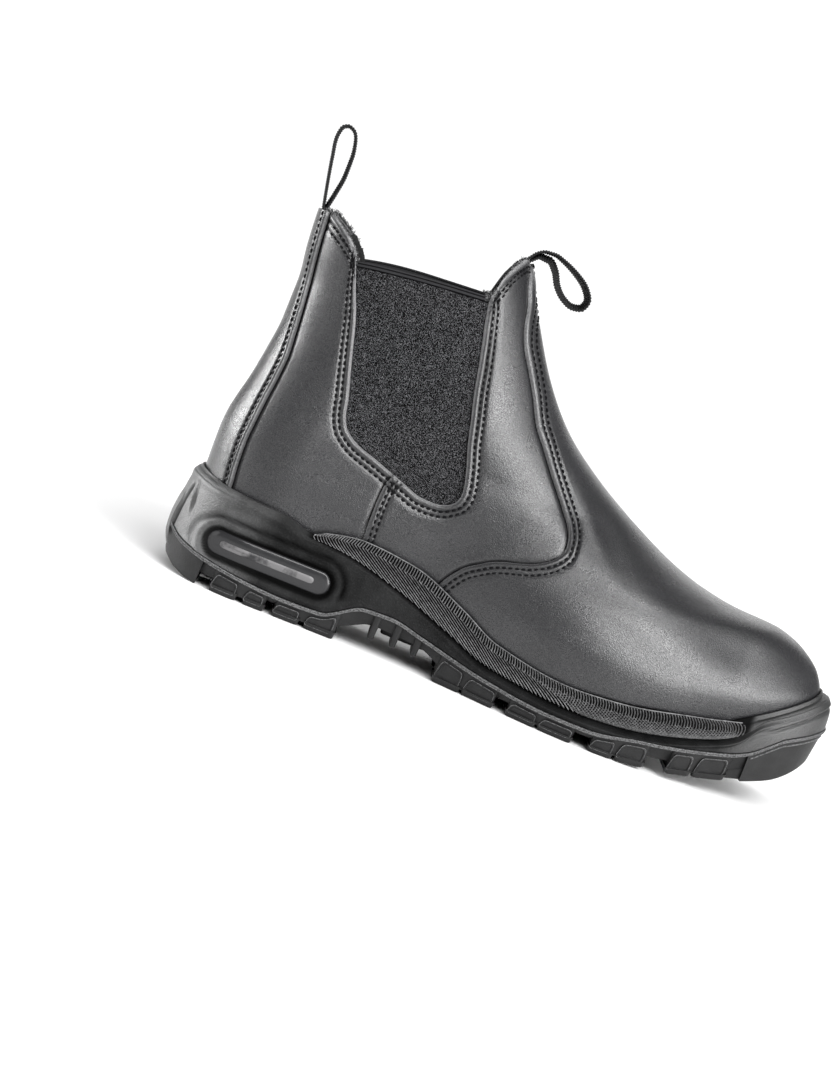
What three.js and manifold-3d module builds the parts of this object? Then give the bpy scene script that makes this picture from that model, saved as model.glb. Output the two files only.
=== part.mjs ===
// Side gore work boot, right foot, in millimetres.
// +X points to the toe, +Y to the inner (medial) side, +Z up from the tread.
// The origin is on the ground at the middle of the boot's box.
import * as THREE from "three";
import { mergeVertices } from "three/addons/utils/BufferGeometryUtils.js";
import Module from "manifold-3d";

const wasm = await Module();
wasm.setup();

// Driving sizes
const boot_length = 303.5;
const shaft_height = 170;
const upper_ball_width = 96;
const sole_ball_width = 107;
const toe_spring = 21.3;
const spring_start = 205;
const wall = 2.2;
const overlay_step = 1.3;
const clearance = 0.3;
const gore_thickness = 1.8;
const gore_margin = 6;
const insole_thickness = 3.5;
const insole_inset = 1.2;
const tread_depth = 5.5;
const tread_draft = 2.2;
const lug_corner = 4;
const plate_lift = { heel: 4, toe: 2 };
const slat_count = 11;
const slat_width = 5;
const slat_from = 0.45;
const slat_to = 0.9;
const tongue_top = 36;
const tongue_half_width = 13;
const tongue_depth = 2.5;
const tongue_lean = 1.5;
const surround_width = 4;
const surround_depth = 1.2;
const midsole_core = 5;
const cup_width = 6;
const rim_inset = 0.4;
const heel_bevel = 8;
const heel_bevel_length = 22;
const toe_bevel = 8;
const toe_bevel_length = 21;
const band_bulge = 2;
const band_ledge = 0.8;
const lip_width = 1.8;
const loop_width = 10;
const loop_thickness = 1.8;
const window_depth = 3;
const window_wall = 0.8;
const lens_depth = 1.2;
const lens_thickness = 1.5;
const columns = 22;

// Named lengths that the tables' shares refer to
const along = (share) => share * boot_length;
const upward = (share) => share * shaft_height;
const across = (share) => share * upper_ball_width;
const sole_across = (share) => share * sole_ball_width;

// A smooth curve through points, with no overshoot between them
function curve(points) {
  const n = points.length;
  const slope = [];
  for (let i = 0; i < n - 1; i++) {
    slope.push((points[i + 1][1] - points[i][1]) / (points[i + 1][0] - points[i][0]));
  }
  const tangent = points.map((_, i) => {
    if (i === 0) return slope[0];
    if (i === n - 1) return slope[n - 2];
    const before = slope[i - 1];
    const after = slope[i];
    return before * after <= 0 ? 0 : (2 * before * after) / (before + after);
  });
  return (x) => {
    if (x <= points[0][0]) return points[0][1];
    if (x >= points[n - 1][0]) return points[n - 1][1];
    let i = 0;
    while (x > points[i + 1][0]) i++;
    const step = points[i + 1][0] - points[i][0];
    const t = (x - points[i][0]) / step;
    const a = 2 * t ** 3 - 3 * t ** 2 + 1;
    const b = t ** 3 - 2 * t ** 2 + t;
    const c = 3 * t ** 2 - 2 * t ** 3;
    const d = t ** 3 - t ** 2;
    return a * points[i][1] + b * step * tangent[i] + c * points[i + 1][1] + d * step * tangent[i + 1];
  };
}

// How far the toe spring lifts the shoe at x
function spring(x) {
  const t = Math.max(0, (x - spring_start) / (boot_length - spring_start));
  return toe_spring * t * t;
}

// The last, one row for each level of the unsprung upper. Heights are shares of the shaft's height,
// back and front of the boot's length, and all the half-widths and end roundings of the ball's width.
const last_rows = [
  { height: 0.07, back: 0.031, front: 0.942, heel: 0.31, waist_out: 0.30, waist_in: 0.26, ball_out: 0.52,
    ball_in: 0.40, toe_out: 0.42, toe_in: 0.34, back_round: 0.37, front_out: 0.80, front_in: 0.62 },
  { height: 0.14, back: 0.023, front: 0.962, heel: 0.345, waist_out: 0.33, waist_in: 0.29, ball_out: 0.56,
    ball_in: 0.425, toe_out: 0.465, toe_in: 0.38, back_round: 0.39, front_out: 0.82, front_in: 0.64 },
  { height: 0.218, back: 0.020, front: 0.972, heel: 0.365, waist_out: 0.35, waist_in: 0.32, ball_out: 0.575,
    ball_in: 0.435, toe_out: 0.485, toe_in: 0.395, back_round: 0.40, front_out: 0.84, front_in: 0.66 },
  { height: 0.27, back: 0.019, front: 0.961, heel: 0.37, waist_out: 0.36, waist_in: 0.335, ball_out: 0.565,
    ball_in: 0.43, toe_out: 0.475, toe_in: 0.39, back_round: 0.40, front_out: 0.84, front_in: 0.67 },
  { height: 0.335, back: 0.0175, front: 0.930, heel: 0.37, waist_out: 0.37, waist_in: 0.345, ball_out: 0.54,
    ball_in: 0.41, toe_out: 0.445, toe_in: 0.37, back_round: 0.40, front_out: 0.80, front_in: 0.66 },
  { height: 0.388, back: 0.017, front: 0.886, heel: 0.365, waist_out: 0.37, waist_in: 0.35, ball_out: 0.505,
    ball_in: 0.39, toe_out: 0.42, toe_in: 0.35, back_round: 0.40, front_out: 0.72, front_in: 0.64 },
  { height: 0.43, back: 0.0185, front: 0.803, heel: 0.36, waist_out: 0.37, waist_in: 0.355, ball_out: 0.48,
    ball_in: 0.375, toe_out: 0.40, toe_in: 0.34, back_round: 0.40, front_out: 0.70, front_in: 0.64 },
  { height: 0.47, back: 0.0225, front: 0.735, heel: 0.355, waist_out: 0.375, waist_in: 0.36, ball_out: 0.455,
    ball_in: 0.365, toe_out: 0.38, toe_in: 0.33, back_round: 0.40, front_out: 0.70, front_in: 0.64 },
  { height: 0.535, back: 0.0305, front: 0.649, heel: 0.345, waist_out: 0.375, waist_in: 0.365, ball_out: 0.42,
    ball_in: 0.36, toe_out: 0.37, toe_in: 0.33, back_round: 0.40, front_out: 0.68, front_in: 0.62 },
  { height: 0.618, back: 0.038, front: 0.560, heel: 0.335, waist_out: 0.375, waist_in: 0.37, ball_out: 0.40,
    ball_in: 0.36, toe_out: 0.36, toe_in: 0.33, back_round: 0.40, front_out: 0.62, front_in: 0.58 },
  { height: 0.706, back: 0.043, front: 0.490, heel: 0.33, waist_out: 0.365, waist_in: 0.365, ball_out: 0.38,
    ball_in: 0.36, toe_out: 0.36, toe_in: 0.33, back_round: 0.41, front_out: 0.58, front_in: 0.56 },
  { height: 0.806, back: 0.043, front: 0.439, heel: 0.335, waist_out: 0.36, waist_in: 0.36, ball_out: 0.37,
    ball_in: 0.36, toe_out: 0.36, toe_in: 0.33, back_round: 0.42, front_out: 0.54, front_in: 0.54 },
  { height: 0.912, back: 0.036, front: 0.399, heel: 0.345, waist_out: 0.36, waist_in: 0.36, ball_out: 0.37,
    ball_in: 0.36, toe_out: 0.36, toe_in: 0.33, back_round: 0.43, front_out: 0.52, front_in: 0.52 },
  { height: 1.012, back: 0.0325, front: 0.367, heel: 0.355, waist_out: 0.365, waist_in: 0.365, ball_out: 0.37,
    ball_in: 0.36, toe_out: 0.36, toe_in: 0.33, back_round: 0.44, front_out: 0.52, front_in: 0.52 },
  { height: 1.13, back: 0.033, front: 0.335, heel: 0.355, waist_out: 0.365, waist_in: 0.365, ball_out: 0.37,
    ball_in: 0.36, toe_out: 0.36, toe_in: 0.33, back_round: 0.44, front_out: 0.52, front_in: 0.52 },
];
const last_stations = { heel: 0.125, waist: 0.345, ball: 0.65, toe: 0.84 };
const ridge = curve([[along(0.3), 0], [along(0.65), across(-0.02)], [along(0.84), across(-0.04)],
  [boot_length, across(-0.05)]]);
const end_power = 2.2;

function column_of(name, scale) {
  return curve(last_rows.map((row) => [upward(row.height), scale(row[name])]));
}
const last_back = column_of("back", along);
const last_front = column_of("front", along);
const last_widths = {};
for (const name of ["heel", "waist_out", "waist_in", "ball_out", "ball_in", "toe_out", "toe_in",
  "back_round", "front_out", "front_in"]) {
  last_widths[name] = column_of(name, across);
}

// Rounds an outline off towards one of its ends
function rounding(distance, radius) {
  const t = Math.min(1, Math.max(0, distance / radius));
  return Math.pow(1 - Math.pow(1 - t, end_power), 1 / end_power);
}

// A point of an outline: side -1 is lateral and +1 medial, share runs from the back (0) to the front (1)
function outline_point(side, share, back, front, half_width, back_round, front_round) {
  const x = back + ((front - back) * (1 - Math.cos(Math.PI * share))) / 2;
  const middle = ridge(x);
  const round = rounding(x - back, back_round) * rounding(front - x, front_round);
  return [x, middle + (side * half_width(x) - middle) * round];
}

// A point of the upper's outer face at an unsprung level
function last_point(side, share, level) {
  const sided = side < 0 ? "_out" : "_in";
  const value = (name) => last_widths[name](level);
  const width = curve([
    [along(last_stations.heel), value("heel")],
    [along(last_stations.waist), value("waist" + sided)],
    [along(last_stations.ball), value("ball" + sided)],
    [along(last_stations.toe), value("toe" + sided)],
  ]);
  const [x, y] = outline_point(side, share, last_back(level), last_front(level), width,
    value("back_round"), value("front" + sided));
  return new THREE.Vector3(x, y, level + spring(x));
}

// The same point moved out (or in, when negative) along the face's normal
function last_offset(side, share, level, offset) {
  const point = last_point(side, share, level);
  if (offset === 0) return point;
  const e = 0.004;
  const rise = last_point(side, share, level + 0.5).sub(last_point(side, share, level - 0.5));
  const across_end = (s) => last_point(1, s, level).sub(last_point(-1, s, level)).multiplyScalar(side);
  let run;
  if (share < e) run = across_end(e);
  else if (share > 1 - e) run = across_end(1 - e).negate();
  else run = last_point(side, share + e, level).sub(last_point(side, share - e, level));
  const normal = run.cross(rise).normalize().multiplyScalar(side < 0 ? 1 : -1);
  return point.addScaledVector(normal, offset);
}

// Turns triangles into a solid that can be cut and joined
function to_solid(vertices, triangles) {
  return new wasm.Manifold(new wasm.Mesh({
    numProp: 3,
    vertProperties: new Float32Array(vertices.flat()),
    triVerts: new Uint32Array(triangles.flat()),
  }));
}

// A closed body through rings: each ring is a function of side and share, from the lowest to the highest
function loft(rings, count = columns) {
  const vertices = [];
  const triangles = [];
  const around = 2 * count;
  for (const ring of rings) {
    for (let i = 0; i <= count; i++) vertices.push(ring(-1, i / count));
    for (let i = count - 1; i > 0; i--) vertices.push(ring(1, i / count));
  }
  for (let r = 0; r < rings.length - 1; r++) {
    for (let i = 0; i < around; i++) {
      const a = r * around + i;
      const b = r * around + ((i + 1) % around);
      triangles.push([a, b, b + around], [a, b + around, a + around]);
    }
  }
  const top = (rings.length - 1) * around;
  for (let i = 0; i < count; i++) {
    const left = i;
    const next = i + 1;
    const right = (around - i) % around;
    const right_next = around - i - 1;
    if (i > 0) {
      triangles.push([left, right, next]);
      triangles.push([top + left, top + next, top + right]);
    }
    if (next < count) {
      triangles.push([next, right, right_next]);
      triangles.push([top + next, top + right_next, top + right]);
    }
  }
  return to_solid(vertices.map((v) => (v.toArray ? v.toArray() : v)), triangles);
}

// A prism with its outline in the side view, reaching from one y to another
function side_prism(outline, from, to) {
  const shape = new THREE.Shape(outline.map(([x, z]) => new THREE.Vector2(x, z)));
  const geometry = new THREE.ExtrudeGeometry(shape, { depth: to - from, bevelEnabled: false });
  geometry.rotateX(Math.PI / 2);
  geometry.translate(0, to, 0);
  return from_geometry(geometry);
}

// A prism with its outline in plan, reaching from one z to another
function plan_prism(outline, from, to) {
  const shape = new THREE.Shape(outline.map(([x, y]) => new THREE.Vector2(x, y)));
  const geometry = new THREE.ExtrudeGeometry(shape, { depth: to - from, bevelEnabled: false });
  geometry.translate(0, 0, from);
  return from_geometry(geometry);
}

function from_geometry(geometry) {
  const plain = geometry.clone();
  plain.deleteAttribute("normal");
  plain.deleteAttribute("uv");
  const merged = mergeVertices(plain, 1e-4);
  return new wasm.Manifold(new wasm.Mesh({
    numProp: 3,
    vertProperties: new Float32Array(merged.attributes.position.array),
    triVerts: new Uint32Array(merged.index.array),
  }));
}

const union = (solids) => solids.reduce((all, one) => all.add(one));
const lining_depth = overlay_step + wall;
const far = 90;
const above = 260;
const beyond = 20;

// Side view lines: x as a share of the length, z as a share of the shaft's height (unsprung)
const side_line = (rows) => curve(rows.map(({ x, z }) => [along(x), upward(z)]));
const footbed = side_line([
  { x: 0.0, z: 0.165 }, { x: 0.2, z: 0.155 }, { x: 0.33, z: 0.125 }, { x: 0.5, z: 0.085 },
  { x: 0.65, z: 0.075 }, { x: 1.0, z: 0.09 },
]);
const parting = side_line([
  { x: 0.0, z: 0.115 }, { x: 0.03, z: 0.088 }, { x: 0.08, z: 0.07 }, { x: 0.2, z: 0.052 },
  { x: 0.25, z: 0.055 }, { x: 0.31, z: 0.107 }, { x: 0.35, z: 0.11 }, { x: 0.4, z: 0.094 },
  { x: 0.5, z: 0.063 }, { x: 0.6, z: 0.05 }, { x: 0.66, z: 0.051 }, { x: 0.74, z: 0.07 },
  { x: 0.87, z: 0.075 }, { x: 0.905, z: 0.085 }, { x: 0.935, z: 0.106 }, { x: 1.0, z: 0.113 },
]);
const sole_top = side_line([
  { x: 0.0, z: 0.275 }, { x: 0.05, z: 0.26 }, { x: 0.135, z: 0.254 }, { x: 0.197, z: 0.234 },
  { x: 0.22, z: 0.25 }, { x: 0.275, z: 0.267 }, { x: 0.35, z: 0.255 }, { x: 0.44, z: 0.2 },
  { x: 0.5, z: 0.155 }, { x: 0.61, z: 0.134 }, { x: 0.7, z: 0.15 }, { x: 0.8, z: 0.172 },
  { x: 0.88, z: 0.17 }, { x: 0.93, z: 0.19 }, { x: 1.0, z: 0.228 },
]);
const band_bottom = side_line([
  { x: 0.0, z: 0.26 }, { x: 0.05, z: 0.245 }, { x: 0.135, z: 0.238 }, { x: 0.197, z: 0.225 },
  { x: 0.25, z: 0.218 }, { x: 0.34, z: 0.18 }, { x: 0.43, z: 0.128 }, { x: 0.5, z: 0.09 },
  { x: 0.62, z: 0.078 }, { x: 0.7, z: 0.087 }, { x: 0.8, z: 0.11 }, { x: 0.86, z: 0.135 },
  { x: 0.885, z: 0.158 }, { x: 0.93, z: 0.178 }, { x: 1.0, z: 0.215 },
]);
const plate_bottom = curve([
  [0, tread_depth + plate_lift.heel], [along(0.08), tread_depth], [along(0.27), tread_depth],
  [along(0.33), upward(0.072)], [along(0.4), upward(0.066)], [along(0.46), tread_depth],
  [along(0.9), tread_depth], [boot_length, tread_depth + plate_lift.toe],
]);

// The sole's plan: half-widths at stations along the length, lateral and medial
const sole_rows = [
  { x: 0.125, lateral: 0.365, medial: 0.365 },
  { x: 0.35, lateral: 0.345, medial: 0.29 },
  { x: 0.655, lateral: 0.56, medial: 0.425 },
  { x: 0.84, lateral: 0.48, medial: 0.385 },
];
const sole_ends = { back: 0.37, lateral: 0.8, medial: 0.62 };
const sole_width = {
  lateral: curve(sole_rows.map((row) => [along(row.x), sole_across(row.lateral)])),
  medial: curve(sole_rows.map((row) => [along(row.x), sole_across(row.medial)])),
};
function sole_point(side, share, inset = 0) {
  const name = side < 0 ? "lateral" : "medial";
  const at = (s) => outline_point(side, s, 0, boot_length, sole_width[name],
    sole_across(sole_ends.back), sole_across(sole_ends[name]));
  const [x, y] = at(share);
  if (inset === 0) return [x, y];
  const e = 0.004;
  const before = share < e ? [at(e)[0], -at(e)[1]] : at(share - e);
  const after = share > 1 - e ? [at(1 - e)[0], 2 * y - at(1 - e)[1]] : at(share + e);
  const run = Math.hypot(after[0] - before[0], after[1] - before[1]);
  const nx = (-side * (after[1] - before[1])) / run;
  const ny = (side * (after[0] - before[0])) / run;
  return [x - nx * inset, y - ny * inset];
}

// How far the woven band round the foot is there at x: 0 at the heel and toe, 1 between them
const band_share = curve([[along(0.18), 0], [along(0.26), 1], [along(0.84), 1], [along(0.9), 0]]);

// A ring between the sole's outline and the upper's face: blend 0 is the outline and 1 the upper.
// Where the band is, the ring is pulled out to the blend and bulge of the band.
function sole_ring(line, blend, band_blend = blend, bulge = 0) {
  return (side, share) => {
    const there = band_share(sole_point(side, share)[0]);
    const [sx, sy] = sole_point(side, share, bulge < 0 ? -bulge : -bulge * there);
    const on_upper = last_offset(side, share, line(sx), clearance + lip_width);
    const mix = blend + (band_blend - blend) * there;
    const x = sx + (on_upper.x - sx) * mix;
    const y = sy + (on_upper.y - sy) * mix;
    return [x, y, line(x) + spring(x)];
  };
}

// A ring along the sole's outline, set in from it
const flat_ring = (inset, line) => (side, share) => {
  const [x, y] = sole_point(side, share, inset);
  return [x, y, line(x) + spring(x)];
};

// Upper: the levels of its sections, closer together where the top of the foot is flat
const levels = [];
for (let i = 0; i < last_rows.length - 1; i++) {
  const from = upward(last_rows[i].height);
  const to = upward(last_rows[i + 1].height);
  levels.push(from);
  if (i > 3 && i < 10) levels.push((from + to) / 2);
}
levels.push(upward(last_rows[last_rows.length - 1].height));
const skin_ring = (level, offset) => (side, share) => last_offset(side, share, level, offset);
const skin = (offset) => loft(levels.map((level) => skin_ring(level, offset)));

// Samples a side line as an outline's edge, from one x to another
function edge(line, from, to, steps, lift = 0) {
  const points = [];
  for (let i = 0; i <= steps; i++) {
    const x = from + ((to - from) * i) / steps;
    points.push([x, line(x) + spring(x) + lift]);
  }
  return points;
}

// The collar seen from the side, from the back to the front peak
const collar_points = [
  { x: -0.02, z: 1.005 }, { x: 0.045, z: 1.003 }, { x: 0.07, z: 0.983 }, { x: 0.088, z: 0.959 },
  { x: 0.101, z: 0.937 }, { x: 0.109, z: 0.915 }, { x: 0.31, z: 0.96 }, { x: 0.317, z: 0.993 },
  { x: 0.323, z: 1.028 }, { x: 0.331, z: 1.058 }, { x: 0.342, z: 1.084 }, { x: 0.38, z: 1.084 },
];
const collar_outline = collar_points.map(({ x, z }) => [along(x), upward(z)]);
const shaft_region = side_prism([
  ...edge(footbed, -beyond, boot_length + beyond, 24, clearance),
  [boot_length + beyond, above],
  [collar_outline[collar_outline.length - 1][0], above],
  ...collar_outline.slice().reverse(),
  [-beyond, collar_outline[0][1]],
], -far, far);

// The elastic's window, and the elastic panel behind it
const gore_points = [
  { x: 0.109, z: 0.915 }, { x: 0.14, z: 0.779 }, { x: 0.165, z: 0.641 }, { x: 0.18, z: 0.544 },
  { x: 0.188, z: 0.515 }, { x: 0.2, z: 0.498 }, { x: 0.245, z: 0.468 }, { x: 0.297, z: 0.437 },
  { x: 0.325, z: 0.421 }, { x: 0.345, z: 0.42 }, { x: 0.362, z: 0.429 }, { x: 0.373, z: 0.448 },
  { x: 0.374, z: 0.488 }, { x: 0.356, z: 0.596 }, { x: 0.338, z: 0.72 }, { x: 0.323, z: 0.844 },
  { x: 0.31, z: 0.962 },
];
const gore_outline = gore_points.map(({ x, z }) => [along(x), upward(z)]);
function grown(outline, amount) {
  const count = outline.length;
  return outline.map(([x, z], i) => {
    const [ax, az] = outline[(i + count - 1) % count];
    const [bx, bz] = outline[(i + 1) % count];
    const run = Math.hypot(bx - ax, bz - az);
    return [x + ((bz - az) / run) * amount, z - ((bx - ax) / run) * amount];
  });
}
const window_top = [[along(0.335), above], [along(0.095), above]];
const gore_window = side_prism([...gore_outline, ...window_top], -far, far);

// Overlays on the upper: the back strip and the vamp with its tongue-like front strip
const strip_points = [
  { x: 0.045, z: 1.04 }, { x: 0.0455, z: 0.995 }, { x: 0.0575, z: 0.81 }, { x: 0.0685, z: 0.625 },
  { x: 0.0635, z: 0.51 }, { x: 0.059, z: 0.385 }, { x: 0.0635, z: 0.262 }, { x: 0.065, z: 0.05 },
  { x: -0.05, z: 0.05 }, { x: -0.05, z: 1.04 },
];
const vamp_points = [
  { x: 0.354, z: 1.09 }, { x: 0.36, z: 1.016 }, { x: 0.3725, z: 0.926 }, { x: 0.4, z: 0.826 },
  { x: 0.44, z: 0.7 }, { x: 0.479, z: 0.615 }, { x: 0.517, z: 0.534 }, { x: 0.5325, z: 0.499 },
  { x: 0.539, z: 0.466 }, { x: 0.54, z: 0.44 }, { x: 0.534, z: 0.415 }, { x: 0.521, z: 0.395 },
  { x: 0.487, z: 0.366 }, { x: 0.45, z: 0.342 }, { x: 0.417, z: 0.3 }, { x: 0.4, z: 0.25 },
  { x: 0.36, z: 0.05 }, { x: 1.05, z: 0.05 }, { x: 1.05, z: 1.09 },
];
const quarter_points = [
  { x: 0.272, z: 0.05 }, { x: 0.275, z: 0.45 }, { x: 0.3, z: 1.1 }, { x: 0.6, z: 1.1 }, { x: 0.6, z: 0.05 },
];
const region_of = (points) => side_prism(points.map(({ x, z }) => [along(x), upward(z)]), -far, far);

const outer_skin = skin(-overlay_step);
const quarter_skin = skin(-overlay_step / 2);
const overlay_skin = skin(0);
const inner_skin = skin(-lining_depth);
const overlay_regions = region_of(strip_points).add(region_of(vamp_points));
const front_quarter = quarter_skin.intersect(region_of(quarter_points));
const overlays = overlay_skin.intersect(overlay_regions);
const upper = outer_skin.add(front_quarter).add(overlays).subtract(inner_skin).intersect(shaft_region)
  .subtract(gore_window);

// The elastic panel lies against the inside of the upper and shows in the window
const gore_region = side_prism([...grown(gore_outline, gore_margin).slice(1, -1),
  [along(0.322), upward(0.962)], [along(0.1), upward(0.912)]], -far, far);
const gore_shell = skin(-lining_depth - clearance).subtract(skin(-lining_depth - clearance - gore_thickness));
const gore_band = gore_shell.intersect(gore_region);
const half_space = (side) => side_prism([[-beyond, -beyond], [boot_length + beyond, -beyond],
  [boot_length + beyond, above], [-beyond, above]], side < 0 ? -far : 0, side < 0 ? 0 : far);

// Midsole
const band_middle = (x) => (sole_top(x) + band_bottom(x)) / 2;
const under_band = (x) => band_bottom(x) - band_ledge;
const core_parting = (x) => Math.min(parting(x), footbed(x) - midsole_core);
const block_under = (tread_line, lift) => loft([
  flat_ring(tread_draft, tread_line),
  flat_ring(0, (x) => parting(x) + lift),
  flat_ring(cup_width, (x) => core_parting(x) + lift),
]);
const midsole_body = loft([
  flat_ring(cup_width, (x) => core_parting(x) - tread_draft),
  sole_ring(parting, 0, 0, -rim_inset),
  sole_ring((x) => parting(x) * 0.5 + under_band(x) * 0.5, 0.08, 0.12),
  sole_ring(under_band, 0.5, 0.35),
  sole_ring(band_bottom, 0.55, 0.15, band_bulge * 0.5),
  sole_ring(band_middle, 0.7, 0.35, band_bulge),
  sole_ring(sole_top, 1),
]);

// The tread's line: flat, but bevelled up at the heel's back and round the toe
function tread(x) {
  const heel = Math.max(0, 1 - x / heel_bevel_length);
  const toe = Math.max(0, 1 - (boot_length - x) / toe_bevel_length);
  return heel_bevel * heel * heel + toe_bevel * toe * toe;
}

// The outsole's tongue, which climbs the back of the heel
const tongue_wall = (inset) => loft([
  (side, share) => [...sole_point(side, share, inset), 0],
  (side, share) => [...sole_point(side, share, inset), tongue_top * 0.6],
  (side, share) => [...sole_point(side, share, inset + tongue_lean), tongue_top * 1.1],
]);
const tongue_foot = parting(0) / 2;
const heel_tongue = (grow) => tongue_wall(0).subtract(tongue_wall(tongue_depth + grow)).intersect(
  side_prism([[-beyond, tongue_foot], [along(0.1), tongue_foot], [along(0.1), tongue_top + grow],
    [-beyond, tongue_top + grow]], -tongue_half_width - grow, tongue_half_width + grow));
const foot_space = side_prism([
  ...edge(footbed, -beyond, boot_length + beyond, 24),
  [boot_length + beyond, above],
  [-beyond, above],
], -far, far);
const room_for_upper = (gap) => skin(gap).intersect(foot_space);

// Heel windows: a rounded recess on each side, with a clear lens in it
function capsule(from, to, low, high, grow) {
  const radius = (high - low) / 2 + grow;
  const middle = (high + low) / 2;
  const points = [];
  for (let i = 0; i <= 8; i++) {
    const angle = -Math.PI / 2 + (Math.PI * i) / 8;
    points.push([to - (high - low) / 2 + radius * Math.cos(angle), middle + radius * Math.sin(angle)]);
  }
  for (let i = 0; i <= 8; i++) {
    const angle = Math.PI / 2 + (Math.PI * i) / 8;
    points.push([from + (high - low) / 2 + radius * Math.cos(angle), middle + radius * Math.sin(angle)]);
  }
  return points;
}
const window_box = { from: 0.056, to: 0.256, low: 0.082, high: 0.163 };
const window_outline = (grow) => capsule(along(window_box.from), along(window_box.to),
  upward(window_box.low), upward(window_box.high), grow);
const sole_wall = (inset) => loft([
  (side, share) => [...sole_point(side, share, inset), 0],
  (side, share) => [...sole_point(side, share, inset), upward(0.3)],
]);
const recess = side_prism(window_outline(0), -far, far).subtract(sole_wall(window_depth))
  .add(side_prism(window_outline(surround_width), -far, far).subtract(sole_wall(surround_depth)))
  .subtract(room_for_upper(clearance + window_wall));
const lens_pair = sole_wall(window_depth - clearance - lens_thickness)
  .subtract(sole_wall(window_depth - clearance)).subtract(room_for_upper(2 * clearance + window_wall))
  .intersect(side_prism(window_outline(-clearance - lens_depth), -far, far));
const midsole = midsole_body.subtract(block_under(() => -tread_depth, clearance / 2))
  .subtract(room_for_upper(clearance)).subtract(recess).subtract(heel_tongue(clearance));

// Outsole
const sole_block = block_under(tread, -clearance / 2);
const plate = block_under(plate_bottom, -clearance / 2);

// Lugs in plan, a row for each pair: from and to along the length, inner edges towards the channel
const lug_rows = [
  { from: -0.01, to: 0.07, lateral: 0.02, medial: 0.02, depth: 0 },
  { from: 0.093, to: 0.174, lateral: 0.12, medial: 0.12, depth: 0 },
  { from: 0.187, to: 0.276, lateral: 0.12, medial: 0.12, depth: 0 },
  { from: 0.325, to: 0.338, lateral: 0.18, medial: 0.14, depth: 1 },
  { from: 0.358, to: 0.371, lateral: 0.18, medial: 0.14, depth: 1 },
  { from: 0.39, to: 0.403, lateral: 0.18, medial: 0.14, depth: 1 },
  { from: 0.44, to: 0.53, lateral: 0.17, medial: 0.05, depth: 0 },
  { from: 0.552, to: 0.65, lateral: 0.21, medial: 0.03, depth: 0 },
  { from: 0.675, to: 0.755, lateral: 0.21, medial: 0.03, depth: 0 },
  { from: 0.777, to: 0.87, lateral: 0.19, medial: 0.04, depth: 0 },
];
const rib_bottom = upward(0.038);
const pad_step = 1;
const below_ground = -1;
const inside_sole = 60;
const lugs = [];
for (const { from, to, lateral, medial, depth } of lug_rows) {
  const low = depth ? rib_bottom : below_ground;
  const inner = { lateral: -sole_across(lateral), medial: sole_across(medial) };
  const corner = Math.min(lug_corner, along(to - from) / 3);
  lugs.push(plan_prism([[along(from), -far], [along(to), -far], [along(to), inner.lateral - corner],
    [along(to) - corner, inner.lateral], [along(from) + corner, inner.lateral],
    [along(from), inner.lateral - corner]], low, inside_sole));
  lugs.push(plan_prism([[along(from), inner.medial + corner], [along(from) + corner, inner.medial],
    [along(to) - corner, inner.medial], [along(to), inner.medial + corner],
    [along(to), far], [along(from), far]], low, inside_sole));
}
const toe_cap = plan_prism([[along(0.9), -far], [along(1.1), -far], [along(1.1), far], [along(0.9), far],
  [along(0.9), sole_across(0.05)], [along(0.93), 0], [along(0.93), -sole_across(0.12)],
  [along(0.9), -sole_across(0.2)]], below_ground, far);
// Slats across the channel between the lugs, the bar at the waist and the pad under the heel
const channel_blocks = [];
for (let i = 0; i < slat_count; i++) {
  const from = along(slat_from) + (along(slat_to - slat_from) * i) / slat_count;
  const middle = -sole_across(0.075);
  const reach = sole_across(0.085);
  const low = tread_depth * 0.35 + spring(from);
  channel_blocks.push(plan_prism([[from, middle - reach], [from + slat_width, middle - reach],
    [from + slat_width, middle + reach], [from, middle + reach]], low, inside_sole));
}
const block = (from, to, half, low) => plan_prism([[along(from), -half], [along(to), -half],
  [along(to), half], [along(from), half]], low, inside_sole);
channel_blocks.push(block(0.345, 0.43, sole_across(0.12), rib_bottom + pad_step));
channel_blocks.push(block(0.1, 0.26, sole_across(0.075), pad_step));
const outsole = plate.add(sole_block.intersect(union([...lugs, toe_cap, ...channel_blocks])))
  .add(heel_tongue(0));

// Insole: lies on the footbed, inside the upper
const insole_low = edge(footbed, -beyond, boot_length + beyond, 24, 2 * clearance);
const insole_high = edge(footbed, -beyond, boot_length + beyond, 24, 2 * clearance + insole_thickness);
const insole = skin(-lining_depth - insole_inset).intersect(
  side_prism([...insole_low, ...insole_high.reverse()], -far, far));

// Pull loops: narrow webbing, seen edge on from the side, that comes out of the collar's edge
function webbing(points) {
  const path = new THREE.CatmullRomCurve3(points.map(([x, z]) => new THREE.Vector3(x, z, 0)));
  const steps = points.length * 2;
  const reach = loop_thickness / 2;
  const left = [];
  const right = [];
  for (let i = 0; i <= steps; i++) {
    const at = path.getPoint(i / steps);
    const run = path.getTangent(i / steps);
    left.push([at.x - run.y * reach, at.y + run.x * reach]);
    right.push([at.x + run.y * reach, at.y - run.x * reach]);
  }
  return side_prism([...left, ...right.reverse()], -loop_width / 2, loop_width / 2);
}
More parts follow.
